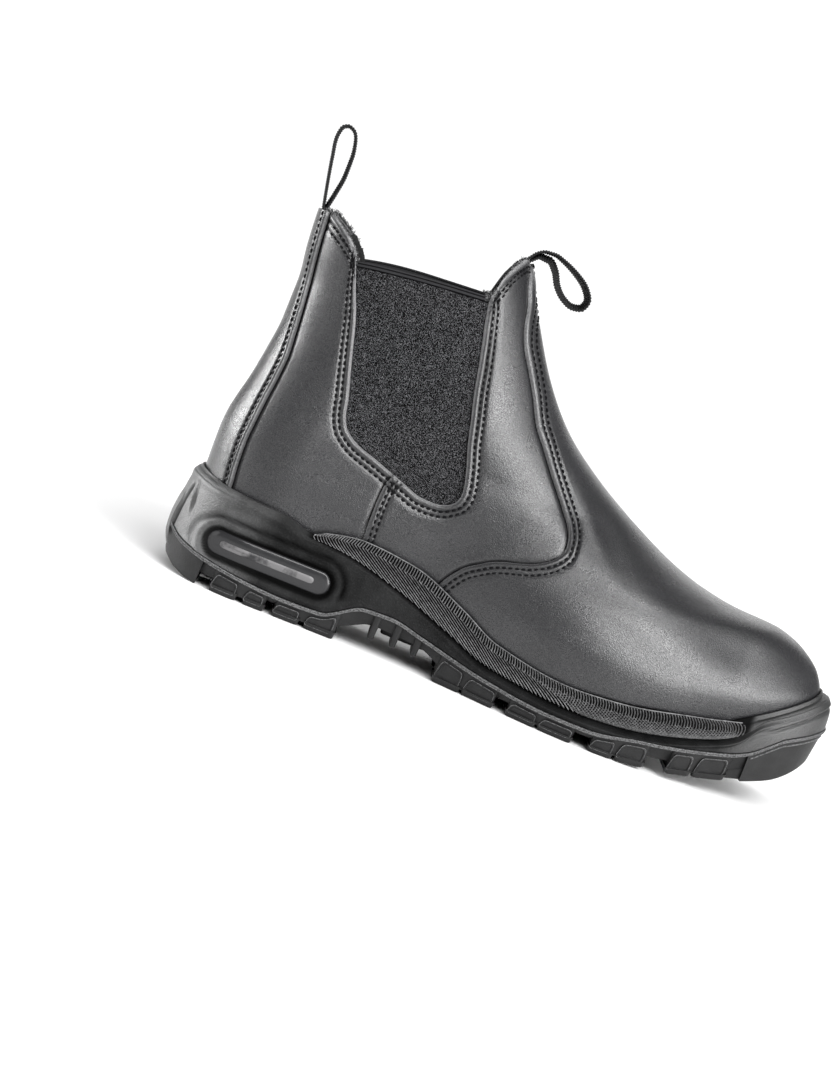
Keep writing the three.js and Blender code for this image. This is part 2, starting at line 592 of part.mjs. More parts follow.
// Both legs of a loop: out from the collar along the first rows, back to it along the rest
function pull_loop(rows, turn) {
  const points = rows.map(({ x, z }) => [along(x), upward(z)]);
  return webbing(points.slice(0, turn + 1)).add(webbing(points.slice(turn)));
}
const loop_back = pull_loop([
  { x: 0.0385, z: 1.008 }, { x: 0.031, z: 1.06 }, { x: 0.0225, z: 1.135 }, { x: 0.018, z: 1.186 },
  { x: 0.0205, z: 1.213 }, { x: 0.0293, z: 1.2225 }, { x: 0.0395, z: 1.214 }, { x: 0.0462, z: 1.187 },
  { x: 0.0494, z: 1.15 }, { x: 0.0498, z: 1.1035 }, { x: 0.046, z: 1.05 }, { x: 0.0405, z: 1.008 },
], 5);
const loop_front = pull_loop([
  { x: 0.3405, z: 1.091 }, { x: 0.3495, z: 1.106 }, { x: 0.361, z: 1.1165 }, { x: 0.3745, z: 1.118 },
  { x: 0.3875, z: 1.112 }, { x: 0.413, z: 1.092 }, { x: 0.4326, z: 1.067 }, { x: 0.442, z: 1.0376 },
  { x: 0.437, z: 1.016 }, { x: 0.424, z: 1.011 }, { x: 0.409, z: 1.021 }, { x: 0.394, z: 1.045 },
  { x: 0.382, z: 1.08 }, { x: 0.368, z: 1.1 }, { x: 0.355, z: 1.1005 }, { x: 0.3435, z: 1.091 },
], 7);

// Colours and finish of each piece
const finishes = {
  leather: { color: 0x1d1d1e, roughness: 0.45, metalness: 0 },
  elastic: { color: 0x2b2b2c, roughness: 0.9, metalness: 0 },
  midsole: { color: 0x2c2d2e, roughness: 0.6, metalness: 0 },
  rubber: { color: 0x141414, roughness: 0.5, metalness: 0 },
  lens: { color: 0x202122, roughness: 0.15, metalness: 0 },
  webbing: { color: 0x232324, roughness: 0.85, metalness: 0 },
  insole: { color: 0x3a3a3a, roughness: 0.95, metalness: 0 },
};
const boot = new THREE.Group();
function add_piece(name, solid, finish) {
  const mesh = solid.getMesh();
  const geometry = new THREE.BufferGeometry();
  geometry.setAttribute("position", new THREE.BufferAttribute(new Float32Array(mesh.vertProperties), 3));
  geometry.setIndex(new THREE.BufferAttribute(new Uint32Array(mesh.triVerts), 1));
  const piece = new THREE.Mesh(geometry, new THREE.MeshStandardMaterial(finishes[finish]));
  piece.name = name;
  boot.add(piece);
}
add_piece("outsole", outsole, "rubber");
add_piece("midsole", midsole, "midsole");
add_piece("heel_window_lateral", lens_pair.intersect(half_space(-1)), "lens");
add_piece("heel_window_medial", lens_pair.intersect(half_space(1)), "lens");
add_piece("upper", upper, "leather");
add_piece("gore_lateral", gore_band.intersect(half_space(-1)), "elastic");
add_piece("gore_medial", gore_band.intersect(half_space(1)), "elastic");
add_piece("insole", insole, "insole");
add_piece("pull_loop_back", loop_back, "webbing");
add_piece("pull_loop_front", loop_front, "webbing");

// The origin goes to the ground at the middle of the whole boot's box
const box = new THREE.Box3().setFromObject(boot);
boot.position.set(-(box.min.x + box.max.x) / 2, -(box.min.y + box.max.y) / 2, -box.min.z);
export default boot;
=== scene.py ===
"""A black leather side gore work boot, right foot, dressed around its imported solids.

The boot is drawn in its own frame, in millimetres: x runs from the back of the heel to the toe,
y to the inner (medial) side and z up from the tread. The last finished step of every piece moves
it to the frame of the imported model, in metres.
"""

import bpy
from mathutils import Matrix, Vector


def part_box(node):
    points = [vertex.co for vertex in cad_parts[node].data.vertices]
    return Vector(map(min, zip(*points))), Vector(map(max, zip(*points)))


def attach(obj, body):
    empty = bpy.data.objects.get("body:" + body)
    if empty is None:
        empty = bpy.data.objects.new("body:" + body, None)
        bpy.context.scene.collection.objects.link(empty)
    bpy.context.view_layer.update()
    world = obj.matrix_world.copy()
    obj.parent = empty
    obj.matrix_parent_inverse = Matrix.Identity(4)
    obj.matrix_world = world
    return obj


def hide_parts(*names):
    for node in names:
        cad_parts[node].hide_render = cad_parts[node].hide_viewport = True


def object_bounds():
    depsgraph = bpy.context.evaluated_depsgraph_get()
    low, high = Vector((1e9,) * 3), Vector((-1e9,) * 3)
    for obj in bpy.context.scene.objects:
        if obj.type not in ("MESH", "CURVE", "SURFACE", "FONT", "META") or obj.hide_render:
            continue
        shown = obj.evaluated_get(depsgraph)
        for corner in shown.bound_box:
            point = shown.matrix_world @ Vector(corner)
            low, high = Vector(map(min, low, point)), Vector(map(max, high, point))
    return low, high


bl_info = {
    "name": "Side Gore Work Boot",
    "version": (1, 0, 0),
    "blender": (4, 5, 0),
    "location": "View3D > Sidebar > Boot",
    "description": "Builds a leather side gore work boot piece by piece",
    "category": "Add Mesh",
}

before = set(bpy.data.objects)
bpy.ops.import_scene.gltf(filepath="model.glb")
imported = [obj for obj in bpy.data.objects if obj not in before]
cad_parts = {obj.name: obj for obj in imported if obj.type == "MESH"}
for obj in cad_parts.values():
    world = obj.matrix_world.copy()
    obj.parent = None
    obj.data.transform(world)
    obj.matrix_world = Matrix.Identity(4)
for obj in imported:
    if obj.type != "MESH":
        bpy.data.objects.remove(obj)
CAD_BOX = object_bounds()

import math

import bpy
import numpy as np
from mathutils import Matrix, Vector

MM = 0.001
LATERAL, MEDIAL = -1, 1
BOTH_SIDES = (LATERAL, MEDIAL)

# Driving sizes of the boot, in millimetres
LENGTH = round((CAD_BOX[1][0] - CAD_BOX[0][0]) / MM, 1)
SHAFT = 170.0
UPPER_BALL = 96.0
SOLE_BALL = 107.0
TOE_SPRING = 21.3
SPRING_START = 205.0
CLEARANCE = 0.3
LIP_WIDTH = 1.8
LIP_AT = CLEARANCE + LIP_WIDTH
TREAD_DRAFT = 2.2

# Where the boot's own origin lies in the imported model, in millimetres
LOOP_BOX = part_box("pull_loop_back")
ORIGIN = np.array([CAD_BOX[0][0] / MM, (LOOP_BOX[0][1] + LOOP_BOX[1][1]) / 2 / MM, 0.0])


def along(share):
    return share * LENGTH


def upward(share):
    return share * SHAFT


# Curves

def tangents(xs, ys):
    """Slopes at the knots of a curve that never overshoots them."""
    slope = np.diff(ys, axis=-1) / np.diff(xs)
    before, after = slope[..., :-1], slope[..., 1:]
    total = before + after
    same_way = before * after > 0
    inner = np.where(same_way, 2 * before * after / np.where(same_way, total, 1), 0)
    return np.concatenate([slope[..., :1], inner, slope[..., -1:]], axis=-1)


def hermite(xs, ys, x):
    """Values at x (any shape) of the curve through xs and ys; ys may hold one row for each x."""
    xs, ys = np.asarray(xs, float), np.asarray(ys, float)
    shape = np.shape(x)
    flat = np.clip(np.ravel(x), xs[0], xs[-1])
    low = np.clip(np.searchsorted(xs, flat, side="right") - 1, 0, len(xs) - 2)
    slopes = tangents(xs, ys)
    step = xs[low + 1] - xs[low]
    t = (flat - xs[low]) / step
    rows = (np.arange(len(flat)),) if ys.ndim > 1 else ()
    y0, y1, m0, m1 = (values[(*rows, at)] for values in (ys, slopes) for at in (low, low + 1))
    a = 2 * t**3 - 3 * t**2 + 1
    b = t**3 - 2 * t**2 + t
    c = 3 * t**2 - 2 * t**3
    d = t**3 - t**2
    return (a * y0 + b * step * m0 + c * y1 + d * step * m1).reshape(shape)


def curve(points):
    """A function of x through the points (x, value)."""
    xs, ys = zip(*points)
    return lambda x: hermite(xs, ys, x)


def side_line(points):
    """A line in the side view, from shares of the length and of the shaft's height."""
    return curve([(along(x), upward(z)) for x, z in points])


def unit(vectors):
    """The vectors at length 1."""
    return vectors / np.linalg.norm(vectors, axis=-1, keepdims=True)


def run_of(path):
    """The distance along a path at each of its points."""
    return np.concatenate([[0], np.cumsum(np.linalg.norm(np.diff(path, axis=0), axis=1))])


def at_run(wanted, run, path):
    """A path's values at the distances wanted along it."""
    return np.stack([np.interp(wanted, run, column) for column in path.T], -1)


def resample(path, count):
    """The same path with count points evenly spaced along it."""
    run = run_of(path)
    return at_run(np.linspace(0, run[-1], count), run, path)


def trace(points, count=200):
    """The smooth path through points, as count points evenly spaced along it."""
    points = np.array(points, float)
    knots = run_of(points)
    fine = np.linspace(0, knots[-1], 2000)
    return resample(np.stack([hermite(knots, column, fine) for column in points.T], -1), count)


def smoothstep(low, high, x):
    t = np.clip((x - low) / (high - low), 0, 1)
    return t * t * (3 - 2 * t)


def bump_at(x, centre, width):
    """A soft ridge of height 1 around a centre."""
    return np.exp(-(((x - centre) / width) ** 2))


# The last: the form that the upper is pulled over

def spring(x):
    """How far the toe spring lifts the shoe at x."""
    t = np.clip((x - SPRING_START) / (LENGTH - SPRING_START), 0, None)
    return TOE_SPRING * t * t


# One row for each level of the unsprung upper: its height as a share of the shaft's, back and front as
# shares of the length, then half-widths and end roundings as shares of the ball's width
LAST_COLUMNS = ("height", "back", "front", "heel", "waist_out", "waist_in", "ball_out", "ball_in",
                "toe_out", "toe_in", "back_round", "front_out", "front_in")
LAST_ROWS = (
    (0.07, 0.031, 0.942, 0.31, 0.30, 0.26, 0.52, 0.40, 0.42, 0.34, 0.37, 0.80, 0.62),
    (0.14, 0.023, 0.962, 0.345, 0.33, 0.29, 0.56, 0.425, 0.465, 0.38, 0.39, 0.82, 0.64),
    (0.218, 0.020, 0.972, 0.365, 0.35, 0.32, 0.575, 0.435, 0.485, 0.395, 0.40, 0.84, 0.66),
    (0.27, 0.019, 0.961, 0.37, 0.36, 0.335, 0.562, 0.43, 0.475, 0.39, 0.40, 0.84, 0.67),
    (0.335, 0.0175, 0.930, 0.37, 0.37, 0.345, 0.53, 0.405, 0.445, 0.37, 0.40, 0.80, 0.66),
    (0.388, 0.017, 0.886, 0.365, 0.37, 0.35, 0.485, 0.38, 0.41, 0.345, 0.40, 0.74, 0.64),
    (0.43, 0.0185, 0.803, 0.36, 0.37, 0.355, 0.45, 0.36, 0.38, 0.33, 0.40, 0.74, 0.64),
    (0.47, 0.0225, 0.735, 0.355, 0.37, 0.36, 0.415, 0.345, 0.36, 0.32, 0.40, 0.74, 0.64),
    (0.535, 0.0305, 0.649, 0.345, 0.365, 0.36, 0.365, 0.33, 0.34, 0.31, 0.40, 0.74, 0.64),
    (0.618, 0.038, 0.560, 0.335, 0.36, 0.36, 0.34, 0.33, 0.33, 0.31, 0.40, 0.70, 0.62),
    (0.706, 0.043, 0.490, 0.33, 0.355, 0.355, 0.335, 0.33, 0.33, 0.31, 0.41, 0.66, 0.60),
    (0.806, 0.043, 0.439, 0.335, 0.355, 0.355, 0.335, 0.33, 0.33, 0.31, 0.42, 0.62, 0.58),
    (0.912, 0.036, 0.399, 0.345, 0.355, 0.355, 0.34, 0.33, 0.33, 0.31, 0.43, 0.58, 0.56),
    (1.012, 0.0325, 0.367, 0.355, 0.36, 0.36, 0.34, 0.33, 0.33, 0.31, 0.44, 0.56, 0.54),
    (1.13, 0.033, 0.335, 0.355, 0.36, 0.36, 0.34, 0.33, 0.33, 0.31, 0.44, 0.56, 0.54),
)
LAST_STATIONS = [along(x) for x in (0.125, 0.345, 0.65, 0.84)]
LAST = {}
for column, column_name in enumerate(LAST_COLUMNS[1:], start=1):
    scale = LENGTH if column_name in ("back", "front") else UPPER_BALL
    LAST[column_name] = curve([(upward(row[0]), row[column] * scale) for row in LAST_ROWS])
RIDGE = curve([(along(0.3), 0), (along(0.65), -0.02 * UPPER_BALL), (along(0.84), -0.04 * UPPER_BALL),
               (LENGTH, -0.05 * UPPER_BALL)])
END_POWER = 2.2
SHARE_STEP = 0.004
LEVEL_STEP = 0.5


def rounding(distance, radius):
    t = np.clip(distance / radius, 0, 1)
    return (1 - (1 - t) ** END_POWER) ** (1 / END_POWER)


def last_flat(side, share, level):
    """Points of the last's face. side is -1 lateral or +1 medial, share 0 at the back to 1 in front."""
    side, share, level = np.broadcast_arrays(np.asarray(side, float), share, level)
    shape = share.shape
    side, share, level = side.ravel(), share.ravel(), level.ravel()
    out = side < 0

    def sided(name):
        return np.where(out, LAST[name + "_out"](level), LAST[name + "_in"](level))

    widths = np.stack([LAST["heel"](level), sided("waist"), sided("ball"), sided("toe")], -1)
    back, front = LAST["back"](level), LAST["front"](level)
    x = back + (front - back) * (1 - np.cos(np.pi * share)) / 2
    half = hermite(LAST_STATIONS, widths, x)
    middle = RIDGE(x)
    round_in = rounding(x - back, LAST["back_round"](level)) * rounding(front - x, sided("front"))
    y = middle + (side * half - middle) * round_in
    return np.stack([x, y, level + spring(x)], -1).reshape(shape + (3,))


def last_normal(side, share, level):
    """The last's outward unit normals."""
    side, share, level = np.broadcast_arrays(np.asarray(side, float), share, level)
    rise = last_flat(side, share, level + LEVEL_STEP) - last_flat(side, share, level - LEVEL_STEP)
    inner = np.clip(share, SHARE_STEP, 1 - SHARE_STEP)
    run = last_flat(side, inner + SHARE_STEP, level) - last_flat(side, inner - SHARE_STEP, level)
    over = (last_flat(1, inner, level) - last_flat(-1, inner, level)) * side[..., None]
    run = np.where((share < SHARE_STEP)[..., None], over, run)
    run = np.where((share > 1 - SHARE_STEP)[..., None], -over, run)
    return unit(np.cross(run, rise) * np.where(side < 0, 1, -1)[..., None])


def last_face(side, share, level, offset):
    """Points of the last's face, moved out along its normals."""
    offset = np.asarray(offset, float)
    return last_flat(side, share, level) + last_normal(side, share, level) * offset[..., None]


def share_of(x, level):
    """The share at which the last has that x, at a level."""
    back, front = LAST["back"](level), LAST["front"](level)
    return np.arccos(np.clip(1 - 2 * (x - back) / (front - back), -1, 1)) / np.pi


def on_last(points):
    """Side view points (x, z) as (share, level)."""
    points = np.asarray(points, float)
    level = points[..., 1] - spring(points[..., 0])
    return np.stack([share_of(points[..., 0], level), level], -1)


# Side view lines of the upper, as points (x, z)
STRIP_EDGE = [(17.9, 12), (18.3, 30), (19.3, 44.5), (18.3, 54.7), (17.9, 65.4), (18.5, 76), (19.3, 86.7),
              (20.2, 95.4), (20.8, 106), (19.9, 116), (18.8, 126.8), (17.5, 137.6), (16, 148.5),
              (14.8, 158.8), (13.8, 170.4)]
VAMP_EDGE = [(113, 11), (116, 30), (120, 41.3), (122.7, 46), (126.6, 51), (131.7, 54.9), (136.7, 58.2),
             (141.7, 60.3), (148, 62.3), (153.5, 64.4), (158, 67), (162, 70.6), (164, 74.7), (163.7, 79.4),
             (161.6, 84.8), (157, 90.8), (151.2, 97.7), (145.4, 104.6), (139.6, 112), (133.8, 119),
             (127.2, 131.3), (121.5, 140.4), (115.7, 149.7), (113, 157.4), (111.2, 166.5), (109, 172.7),
             (106.2, 184)]
COLLAR_BACK = [(14.2, 170.4), (17.6, 168.6), (22.2, 166), (26.7, 163), (30.5, 159.3), (32.5, 156.4),
               (33.2, 154.8)]
COLLAR_FRONT = [(94.3, 162), (96, 168.7), (97.8, 174.7), (99.9, 179), (102.5, 182.8), (103.9, 184.2),
                (106.6, 183)]
GORE_BACK = [(33.2, 154.8), (37.6, 143.7), (42.5, 132.4), (46.6, 119.6), (50, 109), (52.8, 100),
             (54.7, 92.5), (56.9, 88), (59.9, 85.2), (64.9, 82.5), (73.8, 79.7), (83.5, 76.4)]
GORE_FRONT = [(83.5, 76.4), (90, 74.2), (97.5, 71.8), (103.4, 71.6), (108.7, 72.6), (112.5, 75),
              (113.8, 78.8), (113.5, 83.2), (111.5, 90.8), (108, 101.3), (105.4, 112), (102.7, 122.3),
              (100.2, 134.4), (98.2, 143.4), (96, 152.4), (94.3, 162)]
GORE_TOP = [(28, 153.6), (34.6, 155.7), (53.8, 158.8), (73.3, 161.2), (93.6, 163.3), (100, 164)]
COLLAR_LINE = curve([(10, 170.4)] + COLLAR_BACK[:5] + GORE_TOP[1:5] + COLLAR_FRONT[1:6] + [(107, 183)])


# Meshes

def to_row(points):
    """From the boot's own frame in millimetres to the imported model's in metres."""
    return (np.asarray(points, float).reshape(-1, 3) + ORIGIN) * MM


def grid_faces(rows, cols, start=0, flip=False, closed=False):
    """Quads of a grid of rows times cols points; closed joins the last column to the first."""
    r, c = np.meshgrid(np.arange(rows - 1), np.arange(cols if closed else cols - 1), indexing="ij")
    right = (c + 1) % cols
    quads = np.stack([r * cols + c, r * cols + right, (r + 1) * cols + right, (r + 1) * cols + c], -1)
    quads = quads.reshape(-1, 4) + start
    return (quads[:, ::-1] if flip else quads).tolist()


def place_in_scene(name, data):
    """A new object of the scene's own collection."""
    obj = bpy.data.objects.new(name, data)
    bpy.context.scene.collection.objects.link(obj)
    return obj


def deselect():
    bpy.ops.object.select_all(action="DESELECT")


def make_active(obj):
    deselect()
    obj.select_set(True)
    bpy.context.view_layer.objects.active = obj


def new_piece(name, points, faces, finish, nodes=(), smooth=38.0, attributes=None, uv=None):
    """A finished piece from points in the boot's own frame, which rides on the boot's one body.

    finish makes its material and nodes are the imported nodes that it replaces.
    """
    mesh = bpy.data.meshes.new(name)
    mesh.from_pydata(to_row(points).tolist(), [], faces)
    for key, values in (attributes or {}).items():
        domain = "FACE" if len(values) == len(faces) else "POINT"
        layer = mesh.attributes.new(key, "FLOAT", domain)
        layer.data.foreach_set("value", np.asarray(values, np.float32))
    if uv is not None:
        layer = mesh.uv_layers.new(name="surface")
        corners = np.empty(len(mesh.loops), np.int32)
        mesh.loops.foreach_get("vertex_index", corners)
        layer.data.foreach_set("uv", np.asarray(uv, np.float32)[corners].ravel())
    mesh.validate()
    mesh.materials.append(made_once(finish))
    obj = place_in_scene(name, mesh)
    make_active(obj)
    bpy.ops.object.shade_smooth_by_angle(angle=math.radians(smooth))
    deselect()
    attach(obj, "root")
    if nodes:
        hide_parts(*nodes)
    return obj


class Parts:
    """Collects many small closed forms into one mesh."""

    def __init__(self):
        self.points, self.faces, self.count = [], [], 0

    def add(self, points, faces):
        points = np.asarray(points, float).reshape(-1, 3)
        self.points.append(points)
        self.faces.extend([[i + self.count for i in face] for face in faces])
        self.count += len(points)

    def loft(self, rings, capped=True):
        """Closed rings, each with as many points, joined in order; the ends are closed by one face each."""
        rings = np.asarray(rings, float)
        rows, cols = rings.shape[:2]
        faces = grid_faces(rows, cols, closed=True)
        if capped:
            faces.append(list(range(cols))[::-1])
            faces.append([(rows - 1) * cols + i for i in range(cols)])
        self.add(rings, faces)

    def piece(self, name, finish, slot, nodes=(), smooth=38.0):
        """Makes the piece, with all its faces turned outwards."""
        points = np.concatenate(self.points)
        return outward(new_piece(name, points, self.faces, finish, nodes, smooth))


def outward(obj):
    """Turns all the faces of closed forms outwards."""
    make_active(obj)
    bpy.ops.object.mode_set(mode="EDIT")
    bpy.ops.mesh.select_all(action="SELECT")
    bpy.ops.mesh.normals_make_consistent(inside=False)
    bpy.ops.object.mode_set(mode="OBJECT")
    deselect()
    return obj


def closed_sheet(outer, inner, flip):
    """Points and faces of a sheet between two grids of points. The faces of its rim come last."""
    rows, cols = outer.shape[:2]
    count = rows * cols
    index = np.arange(count).reshape(rows, cols)
    loop = np.concatenate([index[0], index[1:, -1], index[-1, -2::-1], index[-2:0:-1, 0]])
    following = np.roll(loop, -1)
    rim = np.stack([loop, loop + count, following + count, following], -1)
    faces = grid_faces(rows, cols, flip=flip) + grid_faces(rows, cols, start=count, flip=not flip)
    faces += (rim[:, ::-1] if flip else rim).tolist()
    return np.concatenate([outer.reshape(-1, 3), inner.reshape(-1, 3)]), faces


# Leather panels: sheets that lie on the last, with rounded cut edges and sunken stitch rows

EDGE_RADIUS = 0.75
EDGE_SWELL, SWELL_AT, SWELL_WIDTH = 0.4, 1.5, 0.9
SEAM_PRESS, PRESS_WIDTH = 0.8, 1.1
# The widths of the painted shadow beside an overlaid edge and of the painted highlight along a cut edge
SEAM_SHADOW_REACH = 0.75
EDGE_SHEEN = 0.35
GROOVE_WIDTH = 0.62
NEAR_EDGE = [0, 0.12, 0.3, 0.55, 0.95, 1.5, 2.1, 2.6, 3.0, 3.4, 3.8, 4.3, 4.8, 5.3, 5.9, 6.8, 8.5]


def run_along(points, axis):
    """Distance along each row (axis 1) or column (axis 0) of a grid of points."""
    steps = np.linalg.norm(np.diff(points, axis=axis), axis=-1)
    first = np.zeros_like(np.take(steps, [0], axis=axis))
    return np.concatenate([first, np.cumsum(steps, axis=axis)], axis=axis)


def edge_drop(distance):
    """How far a cut edge falls away as it rounds over."""
    t = np.clip(1 - distance / EDGE_RADIUS, 0, 1)
    return EDGE_RADIUS * (1 - np.sqrt(1 - t * t))


def spaced(lengths, near, count):
    """For each row length: positions clustered at the start by the list near, then even to the end."""
    near = np.array(near)
    lengths = np.asarray(lengths, float)[:, None]
    squeeze = np.minimum(1, 0.62 * lengths / near[-1])
    start = near[None, :] * squeeze
    rest = np.linspace(0, 1, count + 1)[1:]
    return np.concatenate([start, start[:, -1:] + (lengths - start[:, -1:]) * rest], axis=1)


def respace(side, inner, outer, near, count):
    """A grid of (share, level): each row runs straight from inner to outer, with columns set by distance."""
    fine = np.linspace(0, 1, 160)
    rows = inner[:, None, :] + (outer - inner)[:, None, :] * fine[None, :, None]
    run = run_along(flat_points(side, rows), 1)
    wanted = spaced(run[:, -1], near, count)
    t = np.stack([np.interp(wanted[r], run[r], fine) for r in range(len(rows))])
    return inner[:, None, :] + (outer - inner)[:, None, :] * t[..., None]


# Soft folds and dents pressed in: centre (x, z) of the side view, reach along and across, the
# way it runs in degrees and its height (negative for a trough), on the lateral or medial side
FOLDS = (
    (LATERAL, 160, 92, 16, 4.0, -52, -0.7),
    (LATERAL, 171, 88, 16, 4.0, -48, 0.6),
    (LATERAL, 182, 84, 16, 5.0, -44, -0.5),
    (LATERAL, 246, 63, 21, 7.0, -6, -0.9),
    (LATERAL, 243, 49, 17, 8.0, -12, 0.5),
    (LATERAL, 203, 51, 16, 5.0, -12, -0.4),
    (LATERAL, 34, 62, 22, 8.0, 80, -0.5),
    (LATERAL, 120, 58, 20, 6.0, 30, -0.5),
    (LATERAL, 44, 78, 14, 5.0, 62, 0.5),
    (MEDIAL, 165, 88, 18, 5.0, -50, -0.6),
    (MEDIAL, 120, 62, 22, 7.0, 25, -0.5),
)


def creases(side, flat):
    """The height of the folds at points of the last's face."""
    total = np.zeros(flat.shape[:-1])
    for fold_side, x, z, reach, width, angle, height in FOLDS:
        turn = math.radians(angle)
        dx, dz = flat[..., 0] - x, flat[..., 2] - z
        on = dx * math.cos(turn) + dz * math.sin(turn)
        off = -dx * math.sin(turn) + dz * math.cos(turn)
        total += np.where(side == fold_side, height * np.exp(-(on / reach) ** 2 - (off / width) ** 2), 0)
    return total


def beside(flat, line):
    """Distances in the side view from points of the last's face to a line."""
    path = trace(line, 260)
    spots = flat[..., [0, 2]].reshape(-1, 2)
    away = np.sqrt(((spots[:, None, :] - path[None, :, :]) ** 2).sum(-1).min(1))
    return away.reshape(flat.shape[:-1])


def flat_points(side, grid):
    """A grid's points on the last's own face."""
    return last_flat(side, grid[..., 0], grid[..., 1])


def from_edge(side, grid, line):
    """Distances in the side view of a grid's points from the stitched edge, which follows a line."""
    path = trace(line, 140)
    start, run = path[:-1], np.diff(path, axis=0)
    spots = flat_points(side, grid)[..., [0, 2]].reshape(-1, 1, 2)
    t = np.clip(((spots - start) * run).sum(-1) / (run ** 2).sum(-1), 0, 1)
    away = np.linalg.norm(spots - start - t[..., None] * run, axis=-1).min(1)
    return away.reshape(grid.shape[:-1])


def sheet(side, grid, offset, edges, flip=False, overlaid=()):
    """Points, faces and attributes of a leather sheet over a grid of (share, level).

    edges holds, for each cut edge, the points' distances from it and where its stitch rows lie.
    overlaid holds the side view lines where another piece's edge presses into this one, with a painted shadow
    beside each.
    """
    share, level = grid[..., 0], grid[..., 1]
    sizes = boot_sizes()
    distance = np.min([edge for edge, _ in edges], axis=0)
    fall = edge_drop(distance)
    for edge, rows_apart in edges:
        for at in rows_apart:
            fall = fall + sizes.stitch_groove / MM * bump_at(edge, at, GROOVE_WIDTH)
    flat = flat_points(side, grid)
    lie = offset + EDGE_SWELL * bump_at(distance, SWELL_AT, SWELL_WIDTH) + creases(side, flat)
    # gap holds the painted shadow beside each overlaid edge
    gap = np.zeros(flat.shape[:-1])
    for line in overlaid:
        away = beside(flat, line)
        lie = lie - SEAM_PRESS * bump_at(away, 0, PRESS_WIDTH)
        gap = np.maximum(gap, bump_at(away, 0, SEAM_SHADOW_REACH))
    outer = last_face(side, share, level, lie - fall)
    inner = last_face(side, share, level, lie - sizes.leather_thickness / MM)
    points, faces = closed_sheet(outer, inner, flip)
    cut = np.ones(len(faces))
    cut[:2 * (len(grid) - 1) * (grid.shape[1] - 1)] = 0
    # A painted highlight on the leather along each cut edge
    near = np.tile(bump_at(distance.ravel(), 0, EDGE_SHEEN), 2)
    return points, faces, {"cut_edge": cut, "near_edge": near, "gap": np.tile(gap.ravel(), 2)}


def panel(name, made, nodes=(), pale=1.0):
    """One leather piece from a sheet. pale is how light its cut edges are, and how strong the painted
    highlight beside them.
    """
    points, faces, attributes = made
    for key in ("cut_edge", "near_edge"):
        attributes[key] = attributes[key] * pale
    return new_piece(name, points, faces, leather_finish, nodes, attributes=attributes)


def level_rows(low, high, count):
    """Levels evenly spaced along the last's front ridge."""
    fine = np.linspace(low, high, 1500)
    x = LAST["front"](fine)
    run = run_of(np.stack([x, fine + spring(x)], -1))
    return np.interp(np.linspace(0, run[-1], count), run, fine)


def edge_at_levels(points, levels):
    """The shares of a side view edge at the levels asked for."""
    path = trace(points, 1200)
    level = path[:, 1] - spring(path[:, 0])
    x = np.interp(levels, level, path[:, 0])
    return share_of(x, levels)


# How far the leather lies off the last, where its stitch rows lie, and the columns near each edge
OVERLAY_OFFSET, REAR_OFFSET, FRONT_OFFSET = 0.25, -1.45, -0.75
STITCH_ROWS = (2.5, 4.8)
STRIP_STITCH_ROWS = (2.1, 3.5)
GORE_STITCH_ROWS = (3.1, 5.5)
COLLAR_STITCHES = (3.5, 6.5)
SEAM_STITCHES = (2.6, 4.6)
NEAR_COLLAR = [0, 0.5, 1.2, 2.0, 2.9, 3.8, 4.7, 5.6, 6.6, 7.6, 8.8, 10]
NEAR_GORE = [0, 0.12, 0.3, 0.55, 0.95, 1.5, 2.1, 2.6, 3.1, 3.6, 4.2, 4.8, 5.2, 5.6, 6.1, 7.0, 9.0]
HIDDEN_LEVEL = 12.5


def overlay_grid(levels, edge, ridge, count):
    """A grid of each side, from an overlay's stitched edge to the last's ridge (share 0 back, 1 front)."""
    start = np.stack([edge_at_levels(edge, levels), levels], -1)
    end = np.stack([np.full_like(levels, ridge), levels], -1)
    return {side: respace(side, start, end, NEAR_EDGE, count) for side in BOTH_SIDES}


def vamp_grid():
    """The vamp with its front strip."""
    return overlay_grid(level_rows(HIDDEN_LEVEL, 183.0, 210), VAMP_EDGE, 1, 64)


def strip_grid():
    """The back strip."""
    return overlay_grid(np.linspace(HIDDEN_LEVEL, 170.2, 130), STRIP_EDGE, 0, 14)


def joined_sides(grids, line, rows_apart, from_medial):
    """One sheet across a ridge, from the stitched edge on one side to that on the other.

    The stitch rows keep their distance from the line in the side view, or else along the leather.
    """
    first, second = (MEDIAL, LATERAL) if from_medial else (LATERAL, MEDIAL)
    near, far = grids[first], grids[second][:, -2::-1]
    grid = np.concatenate([near, far], axis=1)
    side = np.concatenate([np.full(near.shape[:2], first), np.full(far.shape[:2], second)], axis=1)
    if line:
        distance = from_edge(side, grid, line)
    else:
        run = run_along(flat_points(side, grid), 1)
        distance = np.minimum(run, run[:, -1:] - run)
    return sheet(side, grid, OVERLAY_OFFSET, [(distance, rows_apart)])


SIDE_SEAM = [(83.5, 76.4), (81.6, 71.5), (81.0, 62), (81.2, 54), (81.6, 46), (82, 13)]
